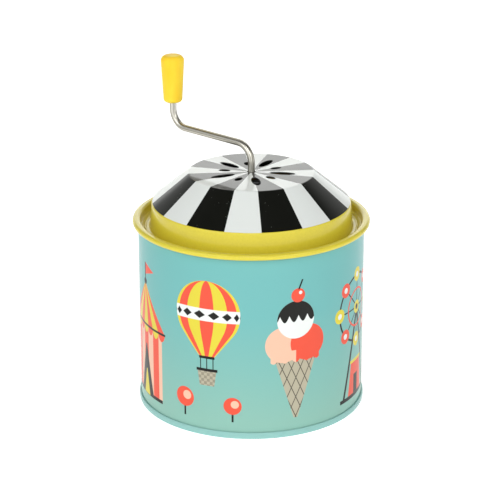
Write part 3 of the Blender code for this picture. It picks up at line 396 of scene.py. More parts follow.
class Nodes:
    """A node tree whose nodes are written as expressions."""

    def __init__(self, tree):
        self.tree = tree

    def node(self, kind, settings, sockets, output=0):
        """Any node: its type, its settings, and the values or links of its sockets."""
        node = self.tree.nodes.new(kind)
        for setting, value in settings.items():
            setattr(node, setting, value)
        for name, value in sockets.items():
            if isinstance(value, Signal):
                self.tree.links.new(value.socket, node.inputs[name])
            else:
                node.inputs[name].default_value = value
        return Signal(self, node.outputs[output])

    def math(self, operation, *values):
        """One Math node."""
        return self.node("ShaderNodeMath", {"operation": operation}, dict(enumerate(values)))

    def split(self, vector):
        """The three parts of a vector."""
        return [
            self.node("ShaderNodeSeparateXYZ", {}, {0: vector}, part) for part in ("X", "Y", "Z")
        ]

    def point(self, x, y, z=0.0):
        """A vector from its three parts."""
        return self.node("ShaderNodeCombineXYZ", {}, {0: x, 1: y, 2: z})

    def vector(self, operation, *values, output=0):
        """One Vector Math node."""
        return self.node(
            "ShaderNodeVectorMath", {"operation": operation}, dict(enumerate(values)), output)

    def mix(self, share, first, second):
        """A colour between two others."""
        first = first if isinstance(first, Signal) else (*first, 1.0)
        second = second if isinstance(second, Signal) else (*second, 1.0)
        return self.node("ShaderNodeMix", {"data_type": "RGBA"}, {0: share, 6: first, 7: second}, 2)


class Finish(Nodes):
    """A material, its Principled shader and the place on the piece, in metres."""

    def __init__(self, name):
        self.material = bpy.data.materials.new(name)
        self.material.use_nodes = True
        super().__init__(self.material.node_tree)
        self.shader = self.tree.nodes["Principled BSDF"]
        self.place = self.node("ShaderNodeTexCoord", {}, {}, "Object")

    def set(self, **values):
        """Uniform values of the shader, such as roughness or coat_weight."""
        for name, value in values.items():
            socket = self.shader.inputs[name.replace("_", " ").title().replace("Ior", "IOR")]
            socket.default_value = (*value, 1.0) if socket.type == "RGBA" else value

    def drive(self, name, signal):
        """Link a pattern to one of the shader's sockets."""
        self.tree.links.new(signal.socket, self.shader.inputs[name])

    def stretched(self, shares):
        """The place with each of its parts scaled, which draws patterns out."""
        return self.vector("MULTIPLY", self.place, shares)

    def noise(self, scale, detail=2.0, place=None):
        """Smooth noise about 0.5, with its scale in waves to the metre."""
        return self.node(
            "ShaderNodeTexNoise", {},
            {"Vector": place or self.place, "Scale": scale, "Detail": detail})

    def specks(self, scale, size):
        """Sparse round specks: 1 inside a speck, 0 elsewhere."""
        distance = self.node(
            "ShaderNodeTexVoronoi", {"feature": "F1"}, {"Vector": self.place, "Scale": scale})
        return distance < size

    def bump(self, height):
        """Relief of a height in millimetres."""
        normal = self.node(
            "ShaderNodeBump", {}, {"Strength": 1.0, "Distance": 1.0 / MM, "Height": height})
        self.drive("Normal", normal)


# The wall's print, drawn in millimetres round the tin and up it

INK_EDGE = 0.10
WEAVE_INK = 0.35
WAFER_INK = 0.8
CELLS = 8


class Drawing:
    """Flat inks laid one over another on a ground, in one cell's (u, v) millimetres."""

    def __init__(self, finish, u, v, ground):
        self.finish = finish
        self.u = u
        self.v = v
        self.spot = finish.point(u, v)
        self.paint = ground
        self.where = 1.0

    def inked(self, distance):
        """1 where a signed distance is inside a shape, with an edge as soft as printed ink."""
        return distance.between(-INK_EDGE / 2, INK_EDGE / 2, 1.0, 0.0)

    def away(self, u, v):
        """How far the point lies from another."""
        return self.finish.vector("DISTANCE", self.spot, (u, v, 0.0), output=1)

    def disc(self, u, v, radius):
        return self.inked(self.away(u, v) - radius)

    def ring(self, u, v, radius, width):
        return self.inked(abs(self.away(u, v) - radius) - width / 2)

    def block(self, u, v, width, height):
        across = abs(self.u - u) - width / 2
        along = abs(self.v - v) - height / 2
        return self.inked(across.at_least(along))

    def wedge(self, top, foot, half_top, half_foot):
        """An upright trapezium or triangle between two heights."""
        slope = (half_top - half_foot) / (top - foot)
        half = (self.v - foot) * slope + half_foot
        across = abs(self.u) - half
        along = abs(self.v - (top + foot) / 2) - (top - foot) / 2
        return self.inked(across.at_least(along))

    def lay(self, mask, ink):
        """Print an ink through a mask, in the cells that this drawing is for."""
        self.paint = self.finish.mix(mask * self.where, self.paint, ink)


def draw_balloon(art, inks):
    """A striped balloon and its basket over two clipped trees."""
    radius = 15.0
    centre = 56.5
    mouth = 36.5
    mouth_half = 3.2
    gores = 7
    belt_half = 2.8
    diamond_half = 1.8
    shoulder = 0.57
    grass = 7.5
    joint = centre - shoulder * radius
    joint_half = radius * math.cos(math.asin(shoulder))
    slope = (joint_half - mouth_half) / (joint - mouth)
    rise = art.v - centre
    bulb = (radius * radius - rise * rise).at_least(0.0).root()
    skirt = (art.v - mouth) * slope + mouth_half
    upper = art.v > joint
    half = (bulb * upper + skirt * (1.0 - upper)).at_least(0.01)
    envelope = art.inked(abs(art.u) - half) * (art.v > mouth) * (art.v < centre + radius)
    turn = (art.u / half).at_most(1.0).at_least(-1.0).arcsine() / math.pi
    belt = abs(art.v - centre + 0.5)
    diamond = abs((turn * (2 * gores)) % 2.0 - 1.0) * 2.2 + belt - diamond_half
    art.lay(envelope, inks.red)
    art.lay(envelope * (turn * gores + 0.5).odd(), inks.yellow)
    art.lay(envelope * art.inked(belt - belt_half), inks.white)
    art.lay(envelope * art.inked(diamond), inks.black)
    art.lay(art.block(0.0, mouth, 7.2, 1.2), inks.black)
    for side in (-2.9, 0.0, 2.9):
        art.lay(art.block(side, 33.3, 0.45, 6.0), inks.black)
    basket = art.wedge(30.6, 23.4, 4.4, 3.4)
    weave = (art.u * 0.75).floor() + (art.v * 0.75).floor()
    art.lay(basket, inks.taupe)
    art.lay(basket * weave.odd() * WEAVE_INK, inks.black)
    art.lay(art.block(0.0, 30.7, 9.8, 1.3), inks.black)
    for side, height, size in ((-11.0, 16.2, 4.6), (11.5, 15.0, 4.0)):
        art.lay(art.block(side, (height + grass) / 2, 0.9, height - grass), inks.black)
        art.lay(art.disc(side, height, size), inks.red)
        art.lay(art.disc(side + size * 0.25, height + size * 0.2, size * 0.45), inks.peach)


def draw_wheel(art, inks):
    """A big wheel with eight cars on its stand."""
    height = 49.5
    radius = 15.2
    cars = 8
    car_radius = 3.3
    foot = 8.0
    spread = 11.5
    leg_half = 0.8
    spoke_half = 0.32
    drop = height - art.v
    leg = abs(abs(art.u) - drop * (spread / (height - foot))) - leg_half
    legs = art.inked(leg) * (art.v < height) * (art.v > foot)
    art.lay(legs, inks.black)
    art.lay(art.block(0.0, foot, 28.0, 1.8), inks.black)
    art.lay(art.wedge(25.0, foot + 0.9, 5.0, 7.5), inks.red)
    art.lay(art.block(0.0, 24.6, 12.0, 1.4), inks.yellow)
    art.lay(art.block(0.0, 13.4, 4.4, 9.0), inks.black)
    rise = art.v - height
    reach = art.away(0.0, height)
    angle = rise.arctan2(art.u)
    spoke = abs((angle * (cars / 2)).sine()) * reach / (cars / 2)
    art.lay(art.inked(spoke - spoke_half) * (reach < radius), inks.black)
    art.lay(art.ring(0.0, height, radius, 1.0), inks.black)
    art.lay(art.ring(0.0, height, radius * 0.56, 0.9), inks.red)
    pitch = 2 * math.pi / cars
    share = angle / pitch + 0.5
    local = (share - share.floor() - 0.5) * pitch
    car_spot = art.finish.point(reach * local.cosine(), reach * local.sine())
    away = art.finish.vector("DISTANCE", car_spot, (radius, 0.0, 0.0), output=1)
    car = art.inked(away - car_radius)
    art.lay(car, inks.yellow)
    art.lay(car * (share + cars).odd(), inks.red)
    art.lay(art.inked(away - 1.3), inks.white)
    art.lay(art.disc(0.0, height, 3.0), inks.yellow)
    art.lay(art.disc(0.0, height, 1.3), inks.black)


def draw_tent(art, inks):
    """A striped marquee with its pennant."""
    apex = 61.0
    eaves = 41.0
    half_eaves = 16.4
    half_wall = 14.2
    foot = 8.0
    stripe = 2 * half_eaves / 7
    pole = 0.4
    tip = 8.4
    art.lay(art.block(0.0, 65.5, 0.9, 9.6), inks.black)
    pennant = abs(art.v - 67.6) - (tip - art.u) * 0.34
    art.lay(art.inked(pennant) * (art.u > pole) * (art.u < tip), inks.red)
    wall = art.block(0.0, (eaves + foot) / 2, 2 * half_wall, eaves - foot)
    odd = (art.u / stripe + 0.5).odd()
    art.lay(wall, inks.red)
    art.lay(wall * odd, inks.peach)
    art.lay(art.block(0.0, foot + 0.6, 2 * half_wall, 1.6), inks.black)
    art.lay(art.wedge(32.0, foot, 0.6, 7.0), inks.black)
    art.lay(art.wedge(20.0, foot, 0.4, 3.2), inks.yellow)
    half = ((apex - art.v) * (half_eaves / (apex - eaves))).at_least(0.01)
    roof = art.wedge(apex, eaves, 0.3, half_eaves)
    art.lay(roof, inks.yellow)
    art.lay(roof * (art.u / half * 3.5 + 0.5).odd(), inks.red)
    scallop = abs((art.u * (math.pi / stripe)).cosine()).root() * 3.6
    valance = art.inked(eaves - scallop - art.v) * (art.v < eaves)
    valance = valance * (abs(art.u) < half_eaves)
    art.lay(valance, inks.yellow)
    art.lay(valance * odd, inks.red)
    art.lay(art.block(0.0, eaves, 2 * half_eaves + 0.8, 1.0), inks.black)
    art.lay(art.disc(0.0, apex + 0.5, 1.5), inks.black)


def draw_sundae(art, inks):
    """A tall wafer cone with three scoops and a cherry."""
    brim = 37.0
    middle = brim + 17.0
    wafer = art.wedge(brim, 8.5, 9.8, 0.9)
    lines = [abs((art.u * slant + art.v * 0.11) % 1.0 - 0.5) for slant in (0.24, -0.24)]
    grid = lines[0].at_least(lines[1])
    art.lay(wafer, inks.taupe)
    art.lay(wafer * grid.between(0.44, 0.46) * WAFER_INK, inks.black)
    drips = abs((art.u * 0.62).cosine()) * 2.6
    skirt = art.inked(brim - drips - art.v) * (art.v < brim + 3.0) * (abs(art.u) < 11.4)
    for side, ink in ((-5.6, inks.peach), (5.6, inks.red)):
        art.lay(art.disc(side, brim + 6.0, 8.2), ink)
    art.lay(skirt * (art.u < 0.0), inks.peach)
    art.lay(skirt * (art.u > 0.0), inks.red)
    scoop = art.disc(0.0, middle, 8.6)
    glaze = abs((art.u * 0.75 + 0.8).cosine()) * 3.0
    art.lay(scoop, inks.white)
    art.lay(scoop * art.inked(middle + 2.0 - glaze - art.v), inks.black)
    art.lay(art.disc(0.8, brim + 28.0, 3.2), inks.red)
    art.lay(art.disc(1.9, brim + 29.1, 0.8), inks.white)
    stem = abs(art.u - 1.2 - (art.v - brim - 31.0) * 0.4) - 0.4
    art.lay(art.inked(stem) * (art.v > brim + 30.6) * (art.v < brim + 35.0), inks.black)


def wall_litho():
    """Turquoise litho print with fairground motifs under gloss varnish."""
    inks = bpy.context.scene.music_box_inks
    radius = BASE_HIGH.x - bpy.context.scene.music_box_tin.base_seam_rise
    finish = Finish("wall_litho")
    x, y, z = finish.split(finish.place)
    height = z * MM
    angle = x.arctan2(-y)
    cell = angle * (CELLS / (2 * math.pi)) + CELLS / 2
    index = cell.floor()
    pitch = 2 * math.pi * radius * MM / CELLS
    across = (cell - index - 0.5) * pitch
    cloud = finish.noise(22.0, 1.0) * 8.0 - 4.0
    ground = finish.mix((height + cloud).between(7.0, 56.0), inks.turquoise_foot, inks.turquoise_top)
    art = Drawing(finish, across, height, ground)
    kind = index % 4.0
    for number, draw in enumerate((draw_sundae, draw_wheel, draw_tent, draw_balloon)):
        art.where = abs(kind - number) < 0.5
        draw(art, inks)
    finish.drive("Base Color", art.paint)
    varnish(finish, coat=0.46, specular=0.05)
    return finish.material


def varnish(finish, coat=0.62, specular=0.12):
    """Gloss varnish over ink on rolled tinplate, with faint waves, orange peel and dust."""
    waves = finish.noise(55.0, 1.0) * 0.030
    peel = finish.noise(1400.0) * 0.0016
    dust = finish.specks(260.0, 0.035) * 0.004
    finish.bump(waves + peel + dust)
    smear = finish.noise(38.0, 3.0)
    finish.drive("Roughness", smear.between(0.25, 0.75, 0.30, 0.42))
    finish.set(coat_weight=coat, coat_roughness=0.035, coat_ior=1.5, specular_ior_level=specular)


def base_coat():
    """Plain turquoise coating of the base, rubbed where it stands."""
    inks = bpy.context.scene.music_box_inks
    finish = Finish("base_coat")
    z = finish.split(finish.place)[2]
    mottle = finish.noise(60.0).between(0.3, 0.7)
    paint = finish.mix(mottle * 0.12, inks.seam_turquoise, inks.turquoise_foot)
    scuff = finish.noise(700.0, 3.0, finish.stretched((1.0, 1.0, 5.0)))
    rubbed = (z * MM).between(0.25, 0.0) * scuff.between(0.52, 0.62)
    finish.drive("Base Color", finish.mix(rubbed, paint, (0.55, 0.55, 0.53)))
    finish.drive("Metallic", rubbed)
    varnish(finish, coat=0.46, specular=0.05)
    return finish.material


STRIPES = 16
STRIPE_START = math.radians(6.5)
STRIPE_LIFT = 0.0003  # from the collar's bend up to the stripes
BLACK_LEAD = 0.11  # in the sine of the stripes, so that black is 53.5 % of a pair


def lid_litho(stripe_foot):
    """Black and white stripes over the cone and the flat top, yellow below, all varnished."""
    inks = bpy.context.scene.music_box_inks
    finish = Finish("lid_litho")
    x, y, z = finish.split(finish.place)
    angle = x.arctan2(-y) - STRIPE_START
    reach = finish.vector("LENGTH", finish.point(x, y), output=1) * MM
    wave = ((angle * (STRIPES / 2)).sine() + BLACK_LEAD) * reach / (STRIPES / 2)
    ragged = finish.noise(2600.0, 1.0) * 0.06 - 0.03
    striped = (wave + ragged).between(-INK_EDGE / 2, INK_EDGE / 2)
    pinholes = finish.specks(420.0, 0.05) * 0.6
    black = finish.mix(pinholes, inks.black, (0.35, 0.36, 0.33))
    stripes = finish.mix(striped, inks.white, black)
    foot = stripe_foot * MM
    dome = (z * MM).between(foot - INK_EDGE / 2, foot + INK_EDGE / 2)
    cloud = finish.noise(30.0).between(0.25, 0.75)
    yellow = finish.mix(cloud * 0.10, inks.yellow, (0.80, 0.66, 0.07))
    grain = finish.noise(1100.0).between(0.35, 0.65)
    yellow = finish.mix(grain * 0.16, yellow, (0.52, 0.44, 0.03))
    paint = finish.mix(dome, yellow, stripes)
    finish.drive("Base Color", paint)
    varnish(finish)
    return finish.material


def bare_tinplate():
    """Unprinted tinplate: bright, brushed by the mill and a little uneven."""
    finish = Finish("bare_tinplate")
    grain = finish.noise(3.0, 3.0, finish.stretched((60.0, 900.0, 60.0)))
    finish.drive("Base Color", finish.mix(grain, (0.36, 0.36, 0.34), (0.52, 0.52, 0.50)))
    finish.drive("Roughness", grain.between(0.2, 0.8, 0.28, 0.46))
    finish.bump(grain * 0.004)
    finish.set(metallic=1.0)
    return finish.material


def nickelled_wire():
    """Bright nickel plate over drawn wire: drawn lines along it, dark streaks painted into its colour as
    reflections, and small handling marks.
    """
    finish = Finish("nickelled_wire")
    straight = finish.node("ShaderNodeAttribute", {"attribute_name": "along_wire"}, {}, "Vector")
    along = finish.vector("MULTIPLY", straight, (1.0, 1.0, 0.006))
    drawn = finish.noise(4200.0, place=along)
    painted_reflection_streak = finish.noise(1900.0, 1.0, along).between(0.42, 0.56)
    marks = finish.noise(420.0, 3.0, straight).between(0.55, 0.75)
    # The colour's dark streaks along the wire are painted reflection of dark surroundings, mixed with the real
    # drawn lines.
    drawn_lines_and_painted_reflection = (painted_reflection_streak * 0.75 + drawn * 0.25).between(0.1, 0.9)
    finish.drive("Base Color", finish.mix(drawn_lines_and_painted_reflection, (0.30, 0.28, 0.23), (0.73, 0.71, 0.65)))
    finish.drive("Roughness", (drawn * 0.08 + marks * 0.10).between(0.0, 0.2, 0.30, 0.40))
    finish.bump(drawn * 0.0012 + marks * 0.0005)
    finish.set(metallic=1.0, specular_tint=(0.45, 0.42, 0.36))
    return finish.material


def grip_moulding():
    """Yellow moulded plastic with a fine spark texture and a faint parting line."""
    inks = bpy.context.scene.music_box_inks
    finish = Finish("grip_moulding")
    x, y = finish.split(finish.place)[:2]
    flow = finish.noise(160.0, place=finish.stretched((1.0, 1.0, 0.3)))
    paler = (1.0, 0.72, 0.05)
    finish.drive("Base Color", finish.mix(flow.between(0.3, 0.7), inks.grip_yellow, paler))
    spark = finish.noise(3800.0)
    parting = abs((x - PIN_PLACE.x) * MM * 0.6 + (y - PIN_PLACE.y) * MM * 0.8)
    ridge = parting.between(0.0, 0.09, 1.0, 0.0)
    finish.bump(spark * 0.004 + ridge * 0.010)
    finish.drive("Roughness", spark.between(0.3, 0.7, 0.40, 0.52))
    finish.set(subsurface_weight=0.3, subsurface_scale=0.003, specular_ior_level=0.22)
    finish.set(subsurface_radius=(1.0, 0.6, 0.1))
    return finish.material


def worked_metal(name, dark, light, roughness, stretch, scale, relief):
    """A metal with a grain: its colours, roughness, grain direction, grain scale and relief."""
    finish = Finish(name)
    grain = finish.noise(scale, 3.0, finish.stretched(stretch))
    bloom = finish.noise(180.0)
    finish.drive("Base Color", finish.mix(grain, dark, light))
    finish.drive("Roughness", (grain * 0.5 + bloom * 0.5).between(0.3, 0.7, *roughness))
    finish.bump(grain * relief)
    finish.set(metallic=1.0)
    return finish.material


def cap_moulding():
    """Black moulded plastic with a fine texture."""
    finish = Finish("cap_moulding")
    spark = finish.noise(3000.0)
    finish.drive("Base Color", finish.mix(spark, (0.018, 0.018, 0.018), (0.030, 0.030, 0.030)))
    finish.drive("Roughness", spark.between(0.3, 0.7, 0.40, 0.55))
    finish.bump(spark * 0.006)
    return finish.material


def pale_floor():
    """Matt pale floor."""
    finish = Finish("pale_floor")
    tone = finish.noise(8.0)
    finish.drive("Base Color", finish.mix(tone, (0.88, 0.88, 0.88), (0.90, 0.90, 0.90)))
    finish.set(roughness=0.9, specular_ior_level=0.1)
    finish.set(emission_color=(1.0, 1.0, 1.0), emission_strength=0.56)
    return finish.material


def find_material(name, make):
    """The material of that name, made if it isn't there yet."""
    return bpy.data.materials.get(name) or make()


# Operators, one for each piece or group of like pieces

SHEET_BEND = 0.0005
STEP_BEND = 0.0004
BEAD_BEND = 0.0003
GROOVE_BEND = 0.0006
DOME_BEND = 0.0010
COLLAR_BEND = 0.0012
SEAM_BEND = 0.0012
SEAM_SHOULDER = 0.66  # of the seam's height, as is its belly
SEAM_BELLY = 0.4
LOCK_SEAM_STEPS = 8
LOCK_SEAM_EDGE = 0.00014
WIRE_SEGMENTS = 40
WIRE_BEND_STEPS = 18
WIRE_EDGE = 0.0003
GRIP_STEPS = 96
BORE_BEND = 0.0003
FLOOR_SEGMENTS = 96


class MUSICBOX_OT_can_wall(bpy.types.Operator):
    """Roll the printed can wall, flanged at the top, with its lock seam at the back"""

    bl_idname = "music_box.can_wall"
    bl_label = "Can wall"

    def execute(self, context):
        tin = context.scene.music_box_tin
        radius = BASE_HIGH.x - tin.base_seam_rise
        flange_height = tin.rim_height + tin.rim_roll - 2 * tin.sheet - tin.fit_gap
        flange_radius = LID_HIGH.x - tin.rim_roll
        outline = supported(rounded([
            (flange_radius, flange_height, 0),
            (radius, flange_height, SHEET_BEND),
            (radius, tin.sheet + tin.fit_gap, 0),
        ]))
        seam_low = tin.base_seam_height + tin.fit_gap
        seam_high = tin.rim_height - tin.rim_roll - tin.fit_gap
        seam_turn = tin.seam_width / radius

        def build_wall(shape):
            spin_sheet(shape, outline, tin.steps)

        def build_seam(shape):
            inner = radius - tin.sheet / 2
            outer = radius + tin.seam_rise
            section = ((inner, seam_low), (outer, seam_low), (outer, seam_high), (inner, seam_high))
            start = Matrix.Rotation((math.pi - seam_turn) / 2, 4, "Z")
            verts = [shape.verts.new(start @ Vector((r, 0.0, h))) for r, h in section]
            face = shape.faces.new(verts)
            bmesh.ops.spin(shape, geom=[face], axis=UP, angle=seam_turn, steps=LOCK_SEAM_STEPS)
            bmesh.ops.recalc_face_normals(shape, faces=shape.faces)

        printed = find_material("wall_litho", wall_litho)
        bare = find_material("bare_tinplate", bare_tinplate)
        wall = new_piece(
            "can_wall_print", build_wall, [printed, bare], "tin", "wall_print", "can_wall")
        thicken(wall, tin.sheet)
        settle(wall)
        seam = new_piece("wall_lock_seam", build_seam, [printed], "tin", "wall_print", "can_wall")
        soften(seam, LOCK_SEAM_EDGE)
        settle(seam)
        hold_to_frame([wall, seam], "can_wall")
        return {"FINISHED"}


class MUSICBOX_OT_can_base(bpy.types.Operator):
    """Press the base, hooked round the foot of the wall"""

    bl_idname = "music_box.can_base"
    bl_label = "Can base"

    def execute(self, context):
        tin = context.scene.music_box_tin
        hook = BASE_HIGH.x
        wall = BASE_HIGH.x - tin.base_seam_rise - 2 * tin.sheet - tin.fit_gap
        step = wall - tin.base_step_inset
        panel = tin.base_recess + tin.base_step
        lip = hook - tin.base_seam_rise + tin.base_lip_gap
        outline = supported(rounded([
            (lip, tin.base_seam_height, 0),
            (hook - tin.base_seam_crown, tin.base_seam_height, BEAD_BEND),
            (hook, tin.base_seam_height * SEAM_SHOULDER, SEAM_BEND),
            (hook, tin.base_seam_height * SEAM_BELLY, SEAM_BEND),
            (hook - tin.base_seam_crown, 0.0, SHEET_BEND),
            (wall, 0.0, SHEET_BEND),
            (wall, tin.base_recess, SHEET_BEND),
            (step, tin.base_recess, STEP_BEND),
            (step - tin.base_step, panel, STEP_BEND),
            (0.0, panel, 0),
        ]))

        def build(shape):
            spin_sheet(shape, outline, tin.steps)

        coat = find_material("base_coat", base_coat)
        base = new_piece("can_base_pressing", build, [coat], "tin", "base_print", "can_base")
        thicken(base, tin.sheet, inside=0)
        settle(base)
        hold_to_frame([base], "can_base")
        return {"FINISHED"}


SOUND_HOLE_PAIRS = 5
SOUND_HOLE_START = math.radians(-9.7)
LARGE_HOLE = (0.0138, 0.0115, 0.0039)  # distance from the axis, length and width
SMALL_HOLE = (0.0120, 0.0053, 0.0030)
HOLE_FIELD = 0.0215  # radius of the part of the flat top that holds them
HOLE_SEGMENTS = 56
CURL_END = math.radians(-120)


class MUSICBOX_OT_lid(bpy.types.Operator):
    """Press the lid: flat top with sound holes, cone, collar, groove and rolled rim"""

    bl_idname = "music_box.lid"
    bl_label = "Lid"

    def execute(self, context):
        tin = context.scene.music_box_tin
        crank = context.scene.music_box_crank
        top = LID_HIGH.z
        wall = BASE_HIGH.x - tin.base_seam_rise - 2 * tin.sheet - tin.fit_gap
        groove = tin.rim_height - tin.groove_depth
        foot = (wall - tin.groove_width, groove)
        collar = (foot[0] - tin.collar_taper, groove + tin.collar_rise)
        bead = wall - tin.groove_width / 2
        rim_radius = LID_HIGH.x - tin.rim_roll
        outline = rounded([
            (HOLE_FIELD, top, 0),
            (tin.dome_top_radius, top, DOME_BEND),
            (*collar, COLLAR_BEND),
            (*foot, GROOVE_BEND),
            (bead - tin.bead_width / 2, groove, BEAD_BEND),
            (bead, groove + tin.bead_rise, BEAD_BEND),
            (bead + tin.bead_width / 2, groove, BEAD_BEND),
            (wall, groove, GROOVE_BEND),
            (wall, tin.rim_height, 0),
        ])
        over = arc((wall + tin.rim_roll, tin.rim_height), tin.rim_roll, math.pi, math.pi / 2)
        under = arc((rim_radius, tin.rim_height), tin.rim_roll, math.pi / 2, CURL_END)
        outline = supported(outline + over[1:] + under)

        def build(shape):
            spin_sheet(shape, outline, tin.steps)
            edges = boundary_ring(shape, top)
            bore = 2 * (crank.wire_radius + crank.hole_clearance)
            edges += put_ellipse(shape, bore, bore, HOLE_SEGMENTS, Matrix.Translation((0, 0, top)))
            for index in range(2 * SOUND_HOLE_PAIRS):
                angle = SOUND_HOLE_START + math.pi * index / SOUND_HOLE_PAIRS
                distance, long, wide = SMALL_HOLE if index % 2 else LARGE_HOLE
                place = Matrix.Rotation(angle, 4, "Z") @ Matrix.Translation((distance, 0.0, top))
                edges += put_ellipse(shape, long, wide, HOLE_SEGMENTS, place)
            bmesh.ops.triangle_fill(shape, use_beauty=True, edges=edges, normal=UP)

        printed = find_material("lid_litho", lambda: lid_litho(collar[1] + STRIPE_LIFT))
        bare = find_material("bare_tinplate", bare_tinplate)
        lid = new_piece("lid_pressing", build, [printed, bare], "tin", "lid_print", "lid")
        thicken(lid, tin.sheet)
        settle(lid)
        hold_to_frame([lid], "lid")
        return {"FINISHED"}


class MUSICBOX_OT_crank_wire(bpy.types.Operator):
    """Bend the crank wire: shaft, level arm and upright pin"""

    bl_idname = "music_box.crank_wire"
    bl_label = "Crank wire"

    def execute(self, context):
        crank = context.scene.music_box_crank
        bend = crank.bend
        side = UP.cross(PIN_DIRECTION)
        arm = PIN_PLACE.length
        lower = UP * (ARM_HEIGHT - bend) + PIN_DIRECTION * bend
        upper = PIN_PLACE + UP * (ARM_HEIGHT + bend) - PIN_DIRECTION * bend
        quarter = bend * math.pi / 2
        shaft = ARM_HEIGHT - bend - WIRE_LOW.z
        level = arm - 2 * bend

        def grow(shape, ring, step):
            """Extrude the wire's open end straight on."""
            made = bmesh.ops.extrude_edge_only(shape, edges=ring)["geom"]
            verts = [item for item in made if isinstance(item, bmesh.types.BMVert)]
            bmesh.ops.translate(shape, verts=verts, vec=step)
            return [item for item in made if isinstance(item, bmesh.types.BMEdge)
                    and all(vert in verts for vert in item.verts)]

        def swing(shape, ring, centre, turn):
            """Spin the wire's open end round a bend."""
            verts = unique(vert for edge in ring for vert in edge.verts)
            made = bmesh.ops.spin(
                shape, geom=ring + verts, cent=centre, axis=side, angle=turn,
                steps=WIRE_BEND_STEPS)["geom_last"]
            return [item for item in made if isinstance(item, bmesh.types.BMEdge)]

        def straightened(point):
            """Where a point of the wire would lie if the wire were pulled straight along Z."""
            out = point.dot(PIN_DIRECTION)
            near_shaft = out < arm / 2
            ahead = point.z - lower.z if near_shaft else out - arm + bend
            beside = bend - out if near_shaft else upper.z - point.z
            spoke = (max(ahead, 0.0), max(beside, 0.0))
            inside = bend - math.hypot(*spoke)
            along = shaft + min(ahead, 0.0) + math.atan2(*spoke) * bend - min(beside, 0.0)
            if near_shaft:
                return Vector((inside, point.dot(side), along))
            return Vector((-inside, point.dot(side), along + quarter + level))

        def build(shape):
            width = 2 * crank.wire_radius
            end = Matrix.Translation((0.0, 0.0, WIRE_LOW.z))
            foot = put_ellipse(shape, width, width, WIRE_SEGMENTS, end)
            ring = grow(shape, foot, UP * shaft)
            ring = swing(shape, ring, lower, math.pi / 2)
            ring = grow(shape, ring, PIN_DIRECTION * level)
            ring = swing(shape, ring, upper, -math.pi / 2)
            ring = grow(shape, ring, UP * (WIRE_HIGH.z - ARM_HEIGHT - bend))
            for loop in (foot, ring):
                bmesh.ops.edgeloop_fill(shape, edges=loop)
            bmesh.ops.remove_doubles(shape, verts=shape.verts, dist=WELD)
            bmesh.ops.recalc_face_normals(shape, faces=shape.faces)
            layer = shape.verts.layers.float_vector.new("along_wire")
            for vert in shape.verts:
                vert[layer] = straightened(vert.co)

        material = find_material("nickelled_wire", nickelled_wire)
        wire = new_piece(
            "crank_wire_bright", build, [material], "crank", "crank_nickel", "crank_wire")
        soften(wire, WIRE_EDGE)
        settle(wire, smooth_below=35)
        hold_to_frame([wire], "crank_wire")
        return {"FINISHED"}


class MUSICBOX_OT_grip(bpy.types.Operator):
    """Mould the tapered grip with its stepped blind bore"""

    bl_idname = "music_box.grip"
    bl_label = "Grip"

    def execute(self, context):
        crank = context.scene.music_box_crank
        bore = crank.wire_radius + crank.running_gap
        low = GRIP_LOW.z
        high = GRIP_HIGH.z
        neck = low + crank.grip_neck
        roof = high - crank.grip_roof
        outline = supported(rounded([
            (0.0, high, 0),
            (crank.grip_top_radius, high, crank.grip_top_rounding),
            (crank.grip_foot_radius, low, crank.grip_foot_rounding),
            (bore, low, BORE_BEND),
            (bore, neck, 0),
            (crank.grip_chamber, neck, 0),
            (crank.grip_chamber, roof, 0),
            (0.0, roof, 0),
        ]))

        def build(shape):
            spin_outline(shape, outline, GRIP_STEPS)
            bmesh.ops.recalc_face_normals(shape, faces=shape.faces)
            bmesh.ops.translate(shape, verts=shape.verts, vec=PIN_PLACE)

        material = find_material("grip_moulding", grip_moulding)
        grip = new_piece("grip_handle", build, [material], "grip", "grip_plastic", "grip")
        settle(grip)
        hold_to_frame([grip], "grip")
        return {"FINISHED"}


METALS = {
    # For each slot: name, dark, light, roughness, grain's stretch, its scale and its relief
    "movement_zinc": (
        "cast_zinc", (0.11, 0.113, 0.118), (0.17, 0.174, 0.18), (0.46, 0.60),
        (1.0, 1.0, 1.0), 900.0, 0.010),
    "movement_steel": (
        "rolled_steel", (0.11, 0.113, 0.12), (0.18, 0.184, 0.19), (0.36, 0.52),
        (1.0, 9.0, 9.0), 420.0, 0.003),
    "tempered_steel": (
        "blued_steel", (0.20, 0.22, 0.27), (0.34, 0.35, 0.38), (0.22, 0.38),
        (9.0, 1.0, 9.0), 420.0, 0.003),
    "movement_brass": (
        "turned_brass", (0.36, 0.25, 0.09), (0.54, 0.39, 0.16), (0.26, 0.40),
        (20.0, 1.0, 1.0), 300.0, 0.003),
}


class MUSICBOX_OT_movement(bpy.types.Operator):
    """Finish the movement's metal and plastic pieces"""

    bl_idname = "music_box.movement"
    bl_label = "Movement"

    def execute(self, context):
        finishes = {slot: worked_metal(*metal) for slot, metal in METALS.items()}
        finishes["cap_plastic"] = cap_moulding()
        for part in frame["record"]["subparts"]:
            if part["material_slot"] in finishes:
                node = frame["nodes"][part["node"]]
                node.data.materials.clear()
                node.data.materials.append(finishes[part["material_slot"]])
        return {"FINISHED"}


